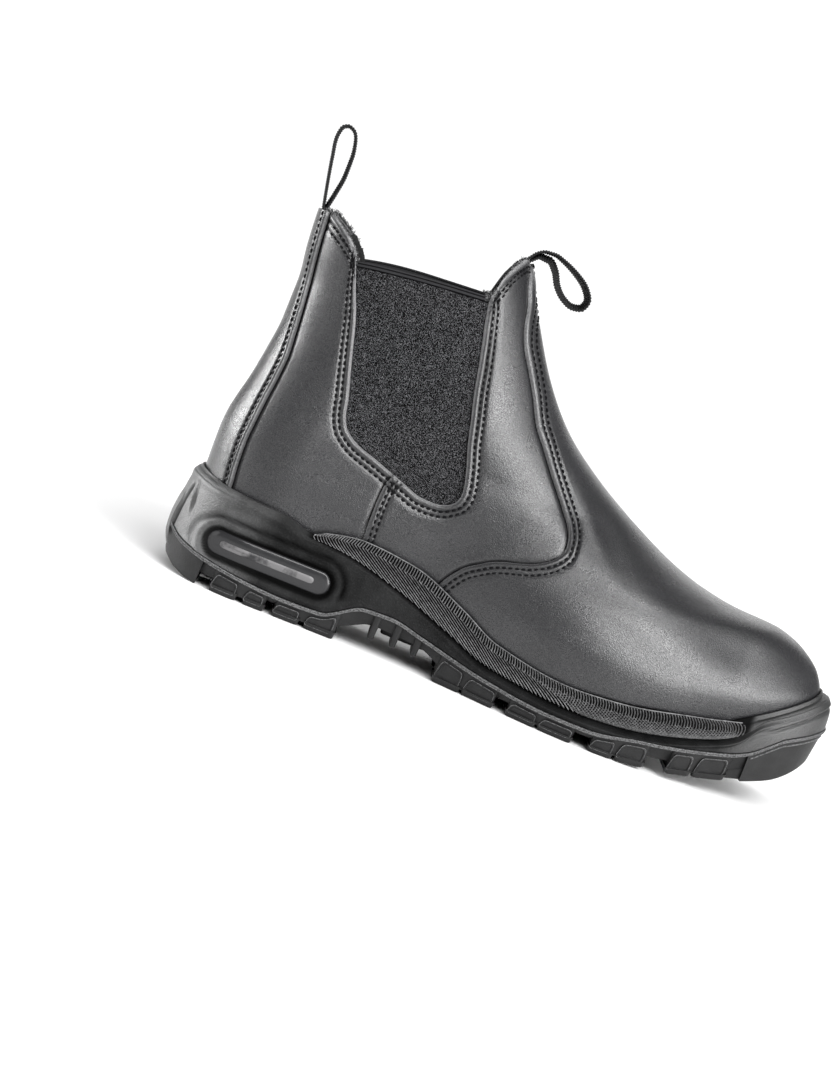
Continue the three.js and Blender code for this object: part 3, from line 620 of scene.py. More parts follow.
# Matched points of the quarters' inner and outer edges
REAR_OUTER = ((11.8, 170.4), (12.5, 153), (14, 138), (15.5, 122), (16.5, 106), (16, 89), (14.5, 68), (14, 44),
              (18, 13), (36, 13), (60, 13), (83.5, 13), (90, 13))
REAR_KEYS = list(zip(GORE_BACK + GORE_FRONT[1:2], REAR_OUTER))
FRONT_INNER = GORE_FRONT[:4] + [(106.5, 71.9), (109.5, 73), (112, 74.6), (113.4, 77), (113.8, 80),
                                (113.2, 84.5)] + GORE_FRONT[8:]
FRONT_OUTER = ((83.5, 13), (93, 13), (106, 16), (120, 36), (127, 48), (139, 57), (152, 62), (162, 68),
               (166, 76), (163.5, 86), (155.5, 95.5), (146, 107), (137.5, 118), (131, 129), (125, 138.5),
               (119.5, 147.5), (115.5, 158), (106.6, 183))
FRONT_KEYS = list(zip(FRONT_INNER, FRONT_OUTER))
END_REACH = 0.22
QUARTER_RUN = 230.0


def quarter_grid(side, keys, rows, end_curves):
    """A grid ruled in the side view between the gore's edge and the piece's far edge, bent to its ends."""
    path = trace([[*inner, *outer] for inner, outer in keys], rows * 4)
    wanted = spaced([QUARTER_RUN], NEAR_COLLAR, rows - len(NEAR_COLLAR))[0] / QUARTER_RUN
    both = at_run(wanted, np.linspace(0, 1, rows * 4), path)
    inner, outer = both[:, None, :2], both[:, None, 2:]
    fine = np.linspace(0, 1, 160)
    lengths = run_along(flat_points(side, on_last(inner + (outer - inner) * fine[None, :, None])), 1)
    places = spaced(lengths[:, -1], NEAR_GORE, 40)
    t = np.stack([np.interp(places[r], lengths[r], fine) for r in range(rows)])
    grid = inner + (outer - inner) * t[..., None]
    for row, points in end_curves:
        here = at_run(t[row], np.linspace(0, 1, 300), trace(points, 300))
        reach = np.abs(wanted - wanted[row]) / END_REACH
        weight = np.clip(1 - reach, 0, 1) ** 2 * (1 + 2 * np.clip(reach, 0, 1))
        grid = grid + weight[:, None, None] * (here - grid[row])[None]
    return on_last(grid)


# Stitches

def thread_form():
    """One stitch along x, modelled once: a rounded bar that dips at both ends. Unit length and width."""
    bpy.ops.mesh.primitive_uv_sphere_add(segments=8, ring_count=6, radius=0.5)
    obj = bpy.context.active_object
    bpy.ops.object.mode_set(mode="EDIT")
    bpy.ops.mesh.select_all(action="SELECT")
    bpy.ops.transform.rotate(value=math.pi / 2, orient_axis="Y", center_override=(0, 0, 0))
    bpy.ops.object.mode_set(mode="OBJECT")
    points = np.array([v.co[:] for v in obj.data.vertices])
    faces = [list(p.vertices) for p in obj.data.polygons]
    bpy.data.objects.remove(obj, do_unlink=True)
    points[:, 0] = np.sign(points[:, 0]) * np.abs(points[:, 0] * 2) ** 0.6 / 2
    points[:, 2] -= 0.9 * points[:, 0] ** 2
    return points, faces


THREAD_SINK = 0.12


def place_row(parts, form, side, path, offset):
    """Stitches along a side view path laid on the upper, one each pitch."""
    share, level = on_last(path).T
    points = last_face(side, share, level, offset + creases(side, last_flat(side, share, level)))
    normals = last_normal(side, share, level)
    sizes = boot_sizes()
    length, width = sizes.stitch_length / MM, sizes.thread_width / MM
    run = run_of(points)
    count = max(1, int(round((run[-1] - 1.0) / (sizes.stitch_pitch / MM))))
    shape, faces = form
    for i in range(count):
        middle = (i + 0.5) * run[-1] / count
        forward = unit(at_run(middle + length / 2, run, points) - at_run(middle - length / 2, run, points))
        normal = at_run(middle, run, normals)
        normal = unit(normal - forward * normal.dot(forward))
        local = shape * np.array([length, width, width * 1.1])
        across = np.cross(normal, forward)
        placed = at_run(middle, run, points) + local @ np.stack([forward, across, normal])
        parts.add(placed - normal * THREAD_SINK, faces)


# Soles

def flat_line(value):
    return lambda x: np.full(np.shape(x), float(value))


FOOTBED = side_line([(0.0, 0.165), (0.2, 0.155), (0.33, 0.125), (0.5, 0.085), (0.65, 0.075), (1.0, 0.09)])
PARTING = side_line([(0.0, 0.115), (0.03, 0.088), (0.08, 0.07), (0.2, 0.052), (0.25, 0.055), (0.31, 0.107),
                     (0.35, 0.11), (0.4, 0.094), (0.5, 0.063), (0.6, 0.05), (0.66, 0.051), (0.74, 0.07),
                     (0.87, 0.075), (0.895, 0.082), (0.92, 0.102), (0.94, 0.116), (0.97, 0.119),
                     (1.0, 0.122)])
SOLE_TOP = side_line([(0.0, 0.275), (0.05, 0.26), (0.135, 0.254), (0.197, 0.234), (0.22, 0.25),
                      (0.275, 0.267), (0.35, 0.255), (0.44, 0.2), (0.5, 0.155), (0.61, 0.131), (0.7, 0.142),
                      (0.8, 0.157), (0.87, 0.157), (0.893, 0.169), (0.93, 0.19), (1.0, 0.228)])
BAND_BOTTOM = side_line([(0.0, 0.26), (0.05, 0.245), (0.135, 0.238), (0.197, 0.225), (0.25, 0.218),
                         (0.34, 0.18), (0.43, 0.128), (0.5, 0.09), (0.62, 0.075), (0.7, 0.081), (0.8, 0.097),
                         (0.855, 0.111), (0.872, 0.122), (0.9, 0.163), (0.93, 0.178), (1.0, 0.215)])
PLATE_BOTTOM = curve([(0, 9.5), (along(0.08), 5.5), (along(0.27), 5.5), (along(0.33), upward(0.072)),
                      (along(0.4), upward(0.066)), (along(0.46), 5.5), (along(0.9), 5.5), (LENGTH, 7.5)])
SOLE_X = [along(x) for x in (0.125, 0.35, 0.655, 0.84)]
SOLE_HALF = {LATERAL: [SOLE_BALL * w for w in (0.365, 0.345, 0.56, 0.48)],
             MEDIAL: [SOLE_BALL * w for w in (0.365, 0.29, 0.425, 0.385)]}
SOLE_BACK_ROUND = 0.37 * SOLE_BALL
SOLE_FRONT_ROUND = {LATERAL: 0.8 * SOLE_BALL, MEDIAL: 0.62 * SOLE_BALL}
# The band's section: height as a share, blend to the upper's face off and on the band, bulge outwards
BAND_PROFILE = ((0.0, 0.55, 0.52, 0.6), (0.12, 0.6, 0.34, 1.2), (0.28, 0.64, 0.26, 1.7),
                (0.45, 0.68, 0.28, 2.0), (0.62, 0.74, 0.38, 2.0), (0.78, 0.82, 0.56, 1.6),
                (0.9, 0.92, 0.78, 0.9), (1.0, 1.0, 1.0, 0.0))
BAND_THERE = curve([(along(0.18), 0), (along(0.26), 1), (along(0.84), 1), (along(0.9), 0)])


def sole_outline(side, share):
    """Plan points (x, y) of the sole's outline."""
    x = LENGTH * (1 - np.cos(np.pi * share)) / 2
    middle = RIDGE(x)
    half = hermite(SOLE_X, SOLE_HALF[side], x)
    round_in = rounding(x, SOLE_BACK_ROUND) * rounding(LENGTH - x, SOLE_FRONT_ROUND[side])
    return np.stack([x, middle + (side * half - middle) * round_in], -1)


def sole_plan(side, share, inset):
    """The outline moved inwards by inset, with its outward unit normals."""
    share = np.asarray(share, float)
    here = sole_outline(side, share)
    before = sole_outline(side, np.maximum(share - SHARE_STEP, 0))
    after = sole_outline(side, np.minimum(share + SHARE_STEP, 1))
    before = np.where((share < SHARE_STEP)[..., None], after * [1, -1], before)
    mirrored = np.stack([before[..., 0], 2 * here[..., 1] - before[..., 1]], -1)
    after = np.where((share > 1 - SHARE_STEP)[..., None], mirrored, after)
    run = unit(after - before)
    normal = np.stack([-side * run[..., 1], side * run[..., 0]], -1)
    return here - normal * np.asarray(inset, float)[..., None], normal


def inset_plan(side, shares, inset):
    """The outline moved inwards by one inset all along."""
    return sole_plan(side, shares, np.full(len(shares), float(inset)))[0]


def sole_y(side, x, inset):
    """Half-width of the sole's outline at x, moved in by inset."""
    plan = inset_plan(side, np.linspace(0, 1, 600), inset)
    return np.interp(x, plan[:, 0], plan[:, 1])


def sole_share(x):
    """The share of the sole's outline at which it has that x."""
    return np.arccos(np.clip(1 - 2 * np.asarray(x, float) / LENGTH, -1, 1)) / np.pi


def wall_y(side, x, inset):
    """The same for an inset of its own at each x, along the sole's flanks."""
    share = sole_share(x)
    plan, normal = sole_plan(side, share, np.zeros(len(share)))
    return plan[:, 1] - side * inset / np.clip(np.abs(normal[:, 1]), 0.4, 1)


AROUND = 420
RING_SHARES = np.linspace(0, 1, AROUND + 1)


def full_ring(make, shares=RING_SHARES):
    """A closed ring round the boot: make(side, shares) gives the points of one side."""
    return np.concatenate([make(LATERAL, shares), make(MEDIAL, shares[-2:0:-1])])


def wall_points(side, shares, line, blend, band_blend, bulge, rim_out=0.0):
    """Points and normals on the midsole's wall, from the sole's outline (blend 0) to the upper's face (1)."""
    there = BAND_THERE(sole_outline(side, shares)[:, 0])
    plan, normal = sole_plan(side, shares, -bulge * there - rim_out)
    upper = last_face(side, shares, line(plan[:, 0]), np.full(len(shares), LIP_AT))
    mix = (blend + (band_blend - blend) * there)[:, None]
    flat = plan + (upper[:, :2] - plan) * mix
    return np.column_stack([flat, line(flat[:, 0]) + spring(flat[:, 0])]), normal


def shifted(line, amount):
    return lambda x: line(x) + amount


def between(lines, weight):
    return lambda x: lines[0](x) * (1 - weight) + lines[1](x) * weight


def upper_ring(line, gap):
    """A ring at a gap from the upper's face."""

    def make(side, shares):
        x = sole_outline(side, shares)[:, 0]
        return last_face(side, shares, line(x), np.full(len(shares), gap))

    return full_ring(make)


def capsule_distance(x, z, start, end, low, high):
    """Signed distance to a rounded bar in the side view, negative inside."""
    radius = (high - low) / 2
    nearest = np.clip(x, start + radius, end - radius)
    return np.hypot(x - nearest, z - (low + high) / 2) - radius


def grown(box, by):
    """A side view box that reaches further by the same length all round."""
    return {key: edge + (by if key in ("end", "high") else -by) for key, edge in box.items()}


WINDOW = {"start": along(0.056), "end": along(0.256), "low": upward(0.082), "high": upward(0.163)}
DISH = {"start": 9.5, "end": 83, "low": 10.5, "high": 31.5}
WINDOW_RIM, WINDOW_MOAT = 2.6, 4.4
TONGUE_SIDE = curve([(6, 13.9), (40, 17.3)])


def on_flank(y):
    """Whether a point lies on the heel's sides, clear of its back."""
    return np.abs(y) > 12


def beside_tongue(x, y, z, width):
    """The groove down each side of the heel's tongue: 1 at its deepest."""
    return smoothstep(30, 12, x) * bump_at(np.abs(y), TONGUE_SIDE(z), width) * smoothstep(40, 36, z)


def moat(x, y, z):
    """The wide groove over the window and round its front end: 1 at its deepest, on both flanks."""
    ring = capsule_distance(x, z, **grown(WINDOW, WINDOW_MOAT))
    return bump_at(ring, 0, 1.25) * smoothstep(12, 22, x) * smoothstep(14.5, 20, z) * on_flank(y)


def wall_relief(points):
    """How far the midsole's wall stands out, in millimetres, at points of it."""
    x, y, z = points[:, 0], points[:, 1], points[:, 2]
    unsprung = z - spring(x)
    # The window's shallow dish, raised rim and recess, and the moat round them
    dish = capsule_distance(x, z, **DISH)
    rim = capsule_distance(x, z, **grown(WINDOW, WINDOW_RIM))
    recess = capsule_distance(x, z, **WINDOW)
    heel_side = -0.9 * smoothstep(0.5, -2.2, dish) * smoothstep(11, 20, z) + 0.8 * bump_at(rim, 0.3, 1.5)
    heel_side = heel_side - 2.3 * smoothstep(0.5, -0.9, recess)
    relief = np.where(on_flank(y), heel_side, 0) - 1.5 * moat(x, y, z)
    # Grooves beside the heel's tongue, and a drop-shaped hollow beside each
    relief -= 2.2 * beside_tongue(x, y, z, 1.0)
    drop = ((np.abs(y) - 20.5 - 0.35 * (40 - z)) / 1.05) ** 2 + ((z - 33) / 6.0) ** 2
    relief -= 2.0 * smoothstep(30, 12, x) * np.exp(-drop)
    # The soft shoulder under the heel's collar, and the line round the toe bumper
    toe = smoothstep(270, 284, x)
    relief += 0.5 * bump_at(unsprung, SOLE_TOP(x) - 3.4, 1.7) * (1 - BAND_THERE(x))
    relief -= 0.9 * bump_at(unsprung, SOLE_TOP(x) - 7.0, 0.8) * toe
    relief += 0.5 * bump_at(unsprung, SOLE_TOP(x) - 5.2, 1.0) * toe
    # The lip under the band, and the crease between the two
    under = BAND_BOTTOM(x)
    relief += 1.5 * bump_at(unsprung, under - 2.1, 1.1) * smoothstep(120, 170, x) * smoothstep(284, 262, x)
    relief -= 0.9 * bump_at(unsprung, under - 0.3, 0.6) * BAND_THERE(x)
    return relief


# The wall from the parting line up: line of the side view, blend to the upper's face off and on the band,
# bulge outwards on the band, reach beyond the outline, and how many rings lead up to it
WALL_STEPS = (
    (shifted(PARTING, -0.2), 0.0, 0.0, 0.0, -0.9, 1),
    (shifted(PARTING, 0.35), 0.0, 0.0, 0.0, -0.8, 2),
    (shifted(PARTING, 0.75), 0.0, 0.0, 0.0, 0.0, 3),
    (between((PARTING, BAND_BOTTOM), 0.5), 0.08, 0.10, 0.0, 0.0, 16),
    (shifted(BAND_BOTTOM, -0.7), 0.5, 0.30, 0.0, 0.0, 16),
    (shifted(BAND_BOTTOM, 0.1), 0.55, 0.52, 0.6, 0.0, 4),
) + tuple((between((BAND_BOTTOM, SOLE_TOP), height), *rest, 0.0, 4) for height, *rest in BAND_PROFILE[1:])
SOFT_UNTIL, STRAIGHT_FROM = 3.6, 4.2


def pinched(ring):
    """A ring drawn in towards the boot's middle line, to close a form."""
    return ring * [0.94, 0.2, 1] + [LENGTH * 0.03, 0, 0]


def midsole_mesh():
    """The midsole: its wall, smooth up to the band and straight above it, and the cup inside."""
    keys = np.stack([full_ring(lambda side, shares: np.column_stack(wall_points(side, shares, *step[:-1])))
                     for step in WALL_STEPS])
    count = keys.shape[1]
    knots = np.arange(len(WALL_STEPS), dtype=float)
    wanted = np.concatenate([[0]] + [i - 1 + np.linspace(0, 1, step[-1] + 1)[1:]
                                     for i, step in enumerate(WALL_STEPS) if i])
    mix = smoothstep(STRAIGHT_FROM, SOFT_UNTIL, wanted)[:, None]
    wall = np.empty((len(wanted), count, 3))
    for k in range(3):
        straight = np.stack([np.interp(wanted, knots, keys[:, i, k]) for i in range(count)], 1)
        table = np.repeat(keys[:, :, k].T[:, None, :], len(wanted), axis=1).reshape(-1, len(WALL_STEPS))
        soft = hermite(knots, table, np.tile(wanted, count)).reshape(count, -1).T
        wall[..., k] = soft * mix + straight * (1 - mix)
    normal = np.zeros_like(wall)
    normal[..., :2] = keys[0][None, :, 3:5]
    flat = wall.reshape(-1, 3)
    wall = (flat + normal.reshape(-1, 3) * wall_relief(flat)[:, None]).reshape(wall.shape)
    lip = [upper_ring(shifted(SOLE_TOP, rise), CLEARANCE + LIP_WIDTH * share)
           for rise, share in ((0.35, 0.72), (0.3, 0.35), (-0.4, 0.0))]
    inside = upper_ring(lambda x: np.maximum(SOLE_TOP(x) - 6, upward(0.075)), CLEARANCE)
    parts = Parts()
    parts.loft(np.stack([pinched(wall[0]), *wall, *lip, inside, pinched(inside)]))
    return parts


def shade_recess(obj):
    """Notes on a piece how far each point lies in a recess, for the painted shade of its finish."""
    points = np.empty(len(obj.data.vertices) * 3, np.float32)
    obj.data.vertices.foreach_get("co", points)
    x, y, z = (points.reshape(-1, 3) / MM - ORIGIN).T
    # Painted shade fills the band behind its ribs, the window's recess, the moat and the grooves beside the
    # heel's tongue
    in_band = smoothstep(-0.5, 0.3, z - spring(x) - BAND_BOTTOM(x))
    in_band = in_band * smoothstep(BAND_START, BAND_START + 4, x) * smoothstep(269.5, 266.5, x)
    in_window = smoothstep(1.2, -0.3, capsule_distance(x, z, **WINDOW))
    recess = np.max([in_band, in_window, 0.8 * moat(x, y, z), beside_tongue(x, y, z, 1.3)], axis=0)
    layer = obj.data.attributes.new("recess", "FLOAT", "POINT")
    layer.data.foreach_set("value", recess.astype(np.float32))


def band_frame(side, x, height):
    """Points on the band's face: height 0 at its lower edge to 1 at its top."""
    keys = np.array([wall_points(side, sole_share(x), between((BAND_BOTTOM, SOLE_TOP), level), *rest)[0]
                     for level, *rest in BAND_PROFILE])
    knots = np.array([row[0] for row in BAND_PROFILE])
    low = np.clip(np.searchsorted(knots, height, side="right") - 1, 0, len(knots) - 2)
    t = ((height - knots[low]) / (knots[low + 1] - knots[low]))[:, None]
    rows = np.arange(len(height))
    return keys[low, rows] * (1 - t) + keys[low + 1, rows] * t


def band_normal(side, x, height):
    reach, rise = 0.6, 0.08
    run = band_frame(side, x + reach, height) - band_frame(side, x - reach, height)
    low, high = np.clip(height - rise, 0, 1), np.clip(height + rise, 0, 1)
    up = band_frame(side, x, high) - band_frame(side, x, low)
    return unit(np.cross(run, up) * (1 if side < 0 else -1))


def band_height(x):
    return SOLE_TOP(x) - BAND_BOTTOM(x)


RIB_SECTION = ((-0.5, -0.5), (-0.3, 0.6), (0.0, 1.0), (0.3, 0.6), (0.5, -0.5))


def across_path(path, normals):
    """The unit directions across a path that lies on a face with these normals."""
    return np.cross(normals, unit(np.gradient(path, axis=0)))


def add_ribs(parts, side, lines, width, height, notch=0.0):
    """Half-round ribs on the band along lines of (x, share of its height). notch cuts every other point."""
    lines = [line for line in lines if len(line) > 3]
    x, share = np.concatenate(lines).T
    faces, normals = band_frame(side, x, share), band_normal(side, x, share)
    ends = np.cumsum([len(line) for line in lines])[:-1]
    for face, normal in zip(np.split(faces, ends), np.split(normals, ends)):
        across = across_path(face, normal)
        t = np.linspace(0, 1, len(face))
        tall = height * np.minimum(1, 6 * np.minimum(t, 1 - t) + 0.2)
        tall = tall * (1 - notch * (np.arange(len(face)) % 2))
        parts.loft(np.stack([face + across * (w * width) + normal * (tall * h)[:, None]
                             for w, h in RIB_SECTION], 1))


def add_cord(parts, path, across, upright, radius):
    """A round cord along a path, between two directions square to it."""
    angles = np.linspace(0, 2 * math.pi, 6, endpoint=False)
    parts.loft(np.stack([path + across * (radius * math.cos(a)) + upright * (radius * math.sin(a))
                         for a in angles], 1))


BAND_START, BAND_END = 58.0, 271.0
RIB_TURN = curve([(BAND_START, 0.74), (190, 0.72), (230, 0.62), (BAND_END, 0.55)])
KNURL_LOW = curve([(170, 0.7), (185, 0.5), (205, 0.06), (BAND_END, 0.06)])
UPRIGHT_LEAN = curve([(BAND_START, 0.35), (120, 0.15), (170, 0.2), (215, 0.6), (BAND_END, 0.7)])
# How steeply the fine lines fall towards the toe
FINE_FALL = curve([(BAND_START, 0.6), (90, 0.62), (150, 0.66), (200, 0.5), (BAND_END, 0.42)])
FINE_STEP, FINE_POINT = 1.15, 0.42


def fine_lines():
    """The fine lines of the band's lower part, as (x, share of its height)."""
    x = np.arange(BAND_START, BAND_END, FINE_POINT)
    fallen = np.cumsum(FINE_FALL(x)) * FINE_POINT
    lines = []
    for start in np.arange(0, 200, FINE_STEP):
        z = start - fallen
        share = (z - spring(x) - BAND_BOTTOM(x)) / band_height(x)
        keep = (share > 0.04) & (share < RIB_TURN(x)) & (band_height(x) > 1.2)
        for run in np.split(np.arange(len(x)), np.flatnonzero(np.diff(keep.astype(int))) + 1):
            if keep[run[0]] and len(run) > 3:
                lines.append(np.stack([x[run], share[run]], -1))
    return lines


def upright_lines():
    """The short ribs of its upper part. Towards the toe they reach down and cross the fine lines."""
    lines = []
    for start in np.arange(BAND_START, BAND_END + 4, boot_sizes().rib_pitch / MM):
        low = min(float(RIB_TURN(start)), float(KNURL_LOW(start)))
        share = np.linspace(0.97, low, 7 if low > 0.4 else 19)
        x = start + UPRIGHT_LEAN(start) * band_height(start) * (share - 1)
        keep = (x > BAND_START) & (x < BAND_END) & (band_height(x) > 1.2)
        lines.append(np.stack([x, share], -1)[keep])
    return lines


def band_ribs(side):
    """The band's ribs, with the fine piping along its upper edge."""
    parts = Parts()
    add_ribs(parts, side, fine_lines(), 0.44, 0.55, notch=0.45)
    add_ribs(parts, side, upright_lines(), 0.62, 0.65)
    x = np.linspace(BAND_START + 4, BAND_END, 160)
    top = np.ones_like(x)
    face, normal = band_frame(side, x, top), band_normal(side, x, top * 0.97)
    add_cord(parts, face, across_path(face, normal), normal, 0.3)
    return parts


# The outsole

def tread_line(x):
    """The lowest surface, bevelled up at the heel's back and the toe."""
    heel = np.clip(1 - x / 22.0, 0, None)
    corner = np.clip(1 - x / 4.0, 0, None)
    toe = np.clip(1 - (LENGTH - x) / 21.0, 0, None)
    return 8.0 * heel**2 + 6.0 * corner**2 + 8.0 * toe**2


def plan_ring(inset, line):
    """A ring along the sole's outline, set in from it, on a line of the side view."""

    def make(side, shares):
        plan = inset_plan(side, shares, inset)
        return np.column_stack([plan, line(plan[:, 0]) + spring(plan[:, 0])])

    return full_ring(make)


def outsole_plate():
    """The plate between midsole and tread, stepped in under the bead round its upper edge."""
    rings = [plan_ring(inset, shifted(line, rise)) for inset, line, rise in (
        (9.0, PLATE_BOTTOM, 0), (3.4, PLATE_BOTTOM, 0), (2.8, PLATE_BOTTOM, 0.6), (1.9, PARTING, -2.6),
        (1.6, PARTING, -2.1), (1.5, PARTING, -0.1), (5.0, PARTING, -0.1))]
    parts = Parts()
    parts.loft([pinched(rings[0]), *rings, pinched(rings[-1])])
    return parts


def parting_bead():
    """The grainy double line of moulding flash where the outsole meets the midsole."""
    section = ((1.6, -1.5), (-0.15, -1.4), (-0.55, -1.2), (-0.62, -0.95), (-0.3, -0.72), (-0.26, -0.6),
               (-0.62, -0.4), (-0.7, -0.15), (-0.6, 0.05), (-0.2, 0.2), (1.6, 0.25))
    parts = Parts()
    rings = [plan_ring(inset, shifted(PARTING, rise)) for inset, rise in section]
    parts.loft(rings + rings[:1], capped=False)
    return parts


def rounded_square(corner_x, corner_y, edge_steps=6, corner_steps=4):
    """A rounded unit square, counter-clockwise from above, as (a, b) in 0..1."""
    right, far = 1 - corner_x, 1 - corner_y
    corners = []
    for a, b, start in ((corner_x, corner_y, 180), (right, corner_y, 270), (right, far, 0),
                        (corner_x, far, 90)):
        turn = np.radians(start + 90 * np.arange(corner_steps + 1) / corner_steps)
        corners.append(np.stack([a + corner_x * np.cos(turn), b + corner_y * np.sin(turn)], -1))
    points = []
    for arc, following in zip(corners, corners[1:] + corners[:1]):
        t = np.arange(1, edge_steps)[:, None] / edge_steps
        points += [arc, arc[-1] + (following[0] - arc[-1]) * t]
    return np.concatenate(points)


# The rings of a lug from the ground up: how much smaller it is and how high it lies
LUG_RINGS = ((1.0, 0.0), (0.42, 0.12), (0.1, 0.5), (0.0, 1.1))
LUG_INSET, LUG_TAPER = 0.35, 0.5
UNDER_PARTING = shifted(PARTING, -1.3)


def lug_height(x, lift, low, top):
    """The height of a lug's ring: lift over the ground line, or on the line top where lift is None."""
    return (top(x) if lift is None else tread_line(x) + low + lift) + spring(x)


def lug_inset(lift):
    """How far a lug's outer face lies inside the outline. It leans out to its top, where lift is None."""
    return LUG_INSET + (0 if lift is None else TREAD_DRAFT - 0.6)


def tread_block(parts, x0, x1, y_in, side=MEDIAL, y_out=None, low=0.0, top=UNDER_PARTING, corner=1.6,
                slant=(0, 0)):
    """A lug or bar of the tread: from x0 to x1, and from y_in out to the sole's edge or to y_out.

    slant moves the two corners of its inner end along the length. It widens a little towards the line top.
    """
    depth = abs((sole_y(side, (x0 + x1) / 2, 0.3) if y_out is None else y_out) - y_in)
    a, b = rounded_square(min(0.45, corner / (x1 - x0)), min(0.45, corner / max(depth, 0.1))).T
    way = np.sign((y_out if y_out is not None else side * 99.0) - y_in)
    rings = []
    for shrink, lift in LUG_RINGS + ((-LUG_TAPER, None),):
        x = x0 + shrink + a * (x1 - x0 - 2 * shrink)
        if y_out is None:
            at = np.linspace(x0 + shrink, x1 - shrink, 24)
            end = np.interp(x, at, sole_y(side, at, lug_inset(lift) + max(shrink, 0)))
        else:
            end = y_out - way * shrink
        start = y_in + way * shrink
        y = start + b * (end - start)
        x = x + (slant[0] * (1 - a) + slant[1] * a) * (1 - b)
        rings.append(np.column_stack([x, y, lug_height(x, lift, low, top)]))
    parts.loft(rings if way > 0 else np.array(rings)[:, ::-1])


def end_block(parts, back, reach, sides, inner):
    """A block that follows the round end of the sole: the toe cap, or a corner under the heel."""
    rings = []
    for shrink, lift in LUG_RINGS + ((-0.4, None),):
        outline = []
        for side in sides:
            plan = inset_plan(side, np.linspace(0, 1, 500), lug_inset(lift) + max(shrink, 0))
            keep = plan[:, 0] < reach - shrink if back else plan[:, 0] > reach + shrink
            if back:
                keep &= side * plan[:, 1] > HEEL_SPLIT + shrink
            arc = resample(plan[keep], 30)
            outline.append(arc if side == sides[0] else arc[::-1])
        ring = np.concatenate(outline + [np.array(inner(shrink), float)])
        rings.append(np.column_stack([ring, lug_height(ring[:, 0], lift, 0, UNDER_PARTING)]))
    parts.loft(rings)


# The steps of a raised panel and of the pale rim round it, a painted highlight on its bevel: how much
# smaller, and how far out
PLATE_STEPS = ((-0.1, -0.8), (0.0, 0.3), (0.18, 0.5), (0.7, 0.5), (0.95, 0.12), (1.3, 0.08))
PANEL_RIM_HIGHLIGHT_STEPS = ((0.0, 0.2), (0.03, 0.55), (0.2, 0.55), (0.24, 0.2), (0.0, 0.2))
PLATE_LOW, PLATE_HIGH = 1.9, shifted(PARTING, -2.7)


def side_plate(parts, side, x0, x1, steps):
    """A thin raised panel on the outer face of a lug, with a rounded upper corner towards the toe."""
    a, b = rounded_square(0.12, 0.28, 4, 3).T
    rings = []
    for shrink, lift in steps:
        x = x0 + shrink + a * (x1 - x0 - 2 * shrink)
        base, peak = tread_line(x) + PLATE_LOW + shrink, PLATE_HIGH(x) - shrink
        height = base + b * (peak - base)
        x = x - 1.6 * (1 - b) * (1 - a)
        draft = (TREAD_DRAFT - 0.25) * (1 - 0.8 * smoothstep(0, 1, height / np.maximum(PLATE_HIGH(x), 1)))
        rings.append(np.column_stack([x, wall_y(side, x, draft - lift), height + spring(x)]))
    parts.loft(rings if side < 0 else np.array(rings)[:, ::-1], capped=steps is PLATE_STEPS)


HEEL_SPLIT = 2.1
HEEL_HALF = 8.0
CHANNEL_MIDDLE = -0.075 * SOLE_BALL
# Lugs under the ball: where each row starts, is split and ends, then its inner ends on either side
LUG_ROWS = ((132, 145, 160, 18.2, 5.4), (166, 180, 196, 22.5, 3.2), (204, 215.5, 229, 22.5, 3.2),
            (239, 250.5, 265, 20.3, 4.3))
HEEL_LUGS = ((28, 40, 43.6, 53), (57, 69, 72, 85.5))
RIB_BOTTOM = upward(0.038)
GROOVE = 1.2
SLAT_PITCH = 11.4


def forefoot_lugs(parts):
    for start, split, end, lateral, medial in LUG_ROWS:
        for side, inner in ((LATERAL, -lateral), (MEDIAL, medial)):
            middle = (inner + float(sole_y(side, (start + end) / 2, TREAD_DRAFT))) / 2
            tread_block(parts, start + 0.2, end - 0.2, inner + side * 0.2, side, low=1.9)
            for x0, x1 in ((start, split - GROOVE / 2), (split + GROOVE / 2, end)):
                tread_block(parts, x0, x1, middle + side * GROOVE / 2, side, top=flat_line(2.9))
                tread_block(parts, x0, x1, inner, side, middle - side * GROOVE / 2, top=flat_line(2.9))


def heel_lugs(parts):
    for side in BOTH_SIDES:
        inner = side * 12.8
        for start, split, again, end in HEEL_LUGS:
            tread_block(parts, start + 0.2, end - 0.2, inner + side * 0.2, side, low=2.4)
            tread_block(parts, start, split, inner, side, top=flat_line(3.4), slant=(0, 1.2))
            tread_block(parts, again, end, inner, side, top=flat_line(3.4), slant=(-1.2, 0))

        def corner(shrink, side=side):
            return [(21.3 - shrink, side * 14.5), (21.3 - shrink, side * (HEEL_SPLIT + shrink))]

        end_block(parts, True, 21.3, (side,), corner)


def heel_pad(parts):
    """The plain pad between the heel's lugs, with fine bars across and a raised block amid them."""
    tread_block(parts, 29, 79, -HEEL_HALF, y_out=HEEL_HALF, low=2.0, top=flat_line(6.5))
    half = HEEL_HALF - 0.6
    for x in (30.5, 33.7, 36.9, 40.1, 66, 69.2, 72.4, 75.6):
        tread_block(parts, x, x + 1.9, -half, y_out=half, low=1.0, top=flat_line(2.6), corner=0.5)
    tread_block(parts, 44.8, 63.2, -7.0, y_out=7.0, low=0.9, top=flat_line(2.6), corner=1.2)


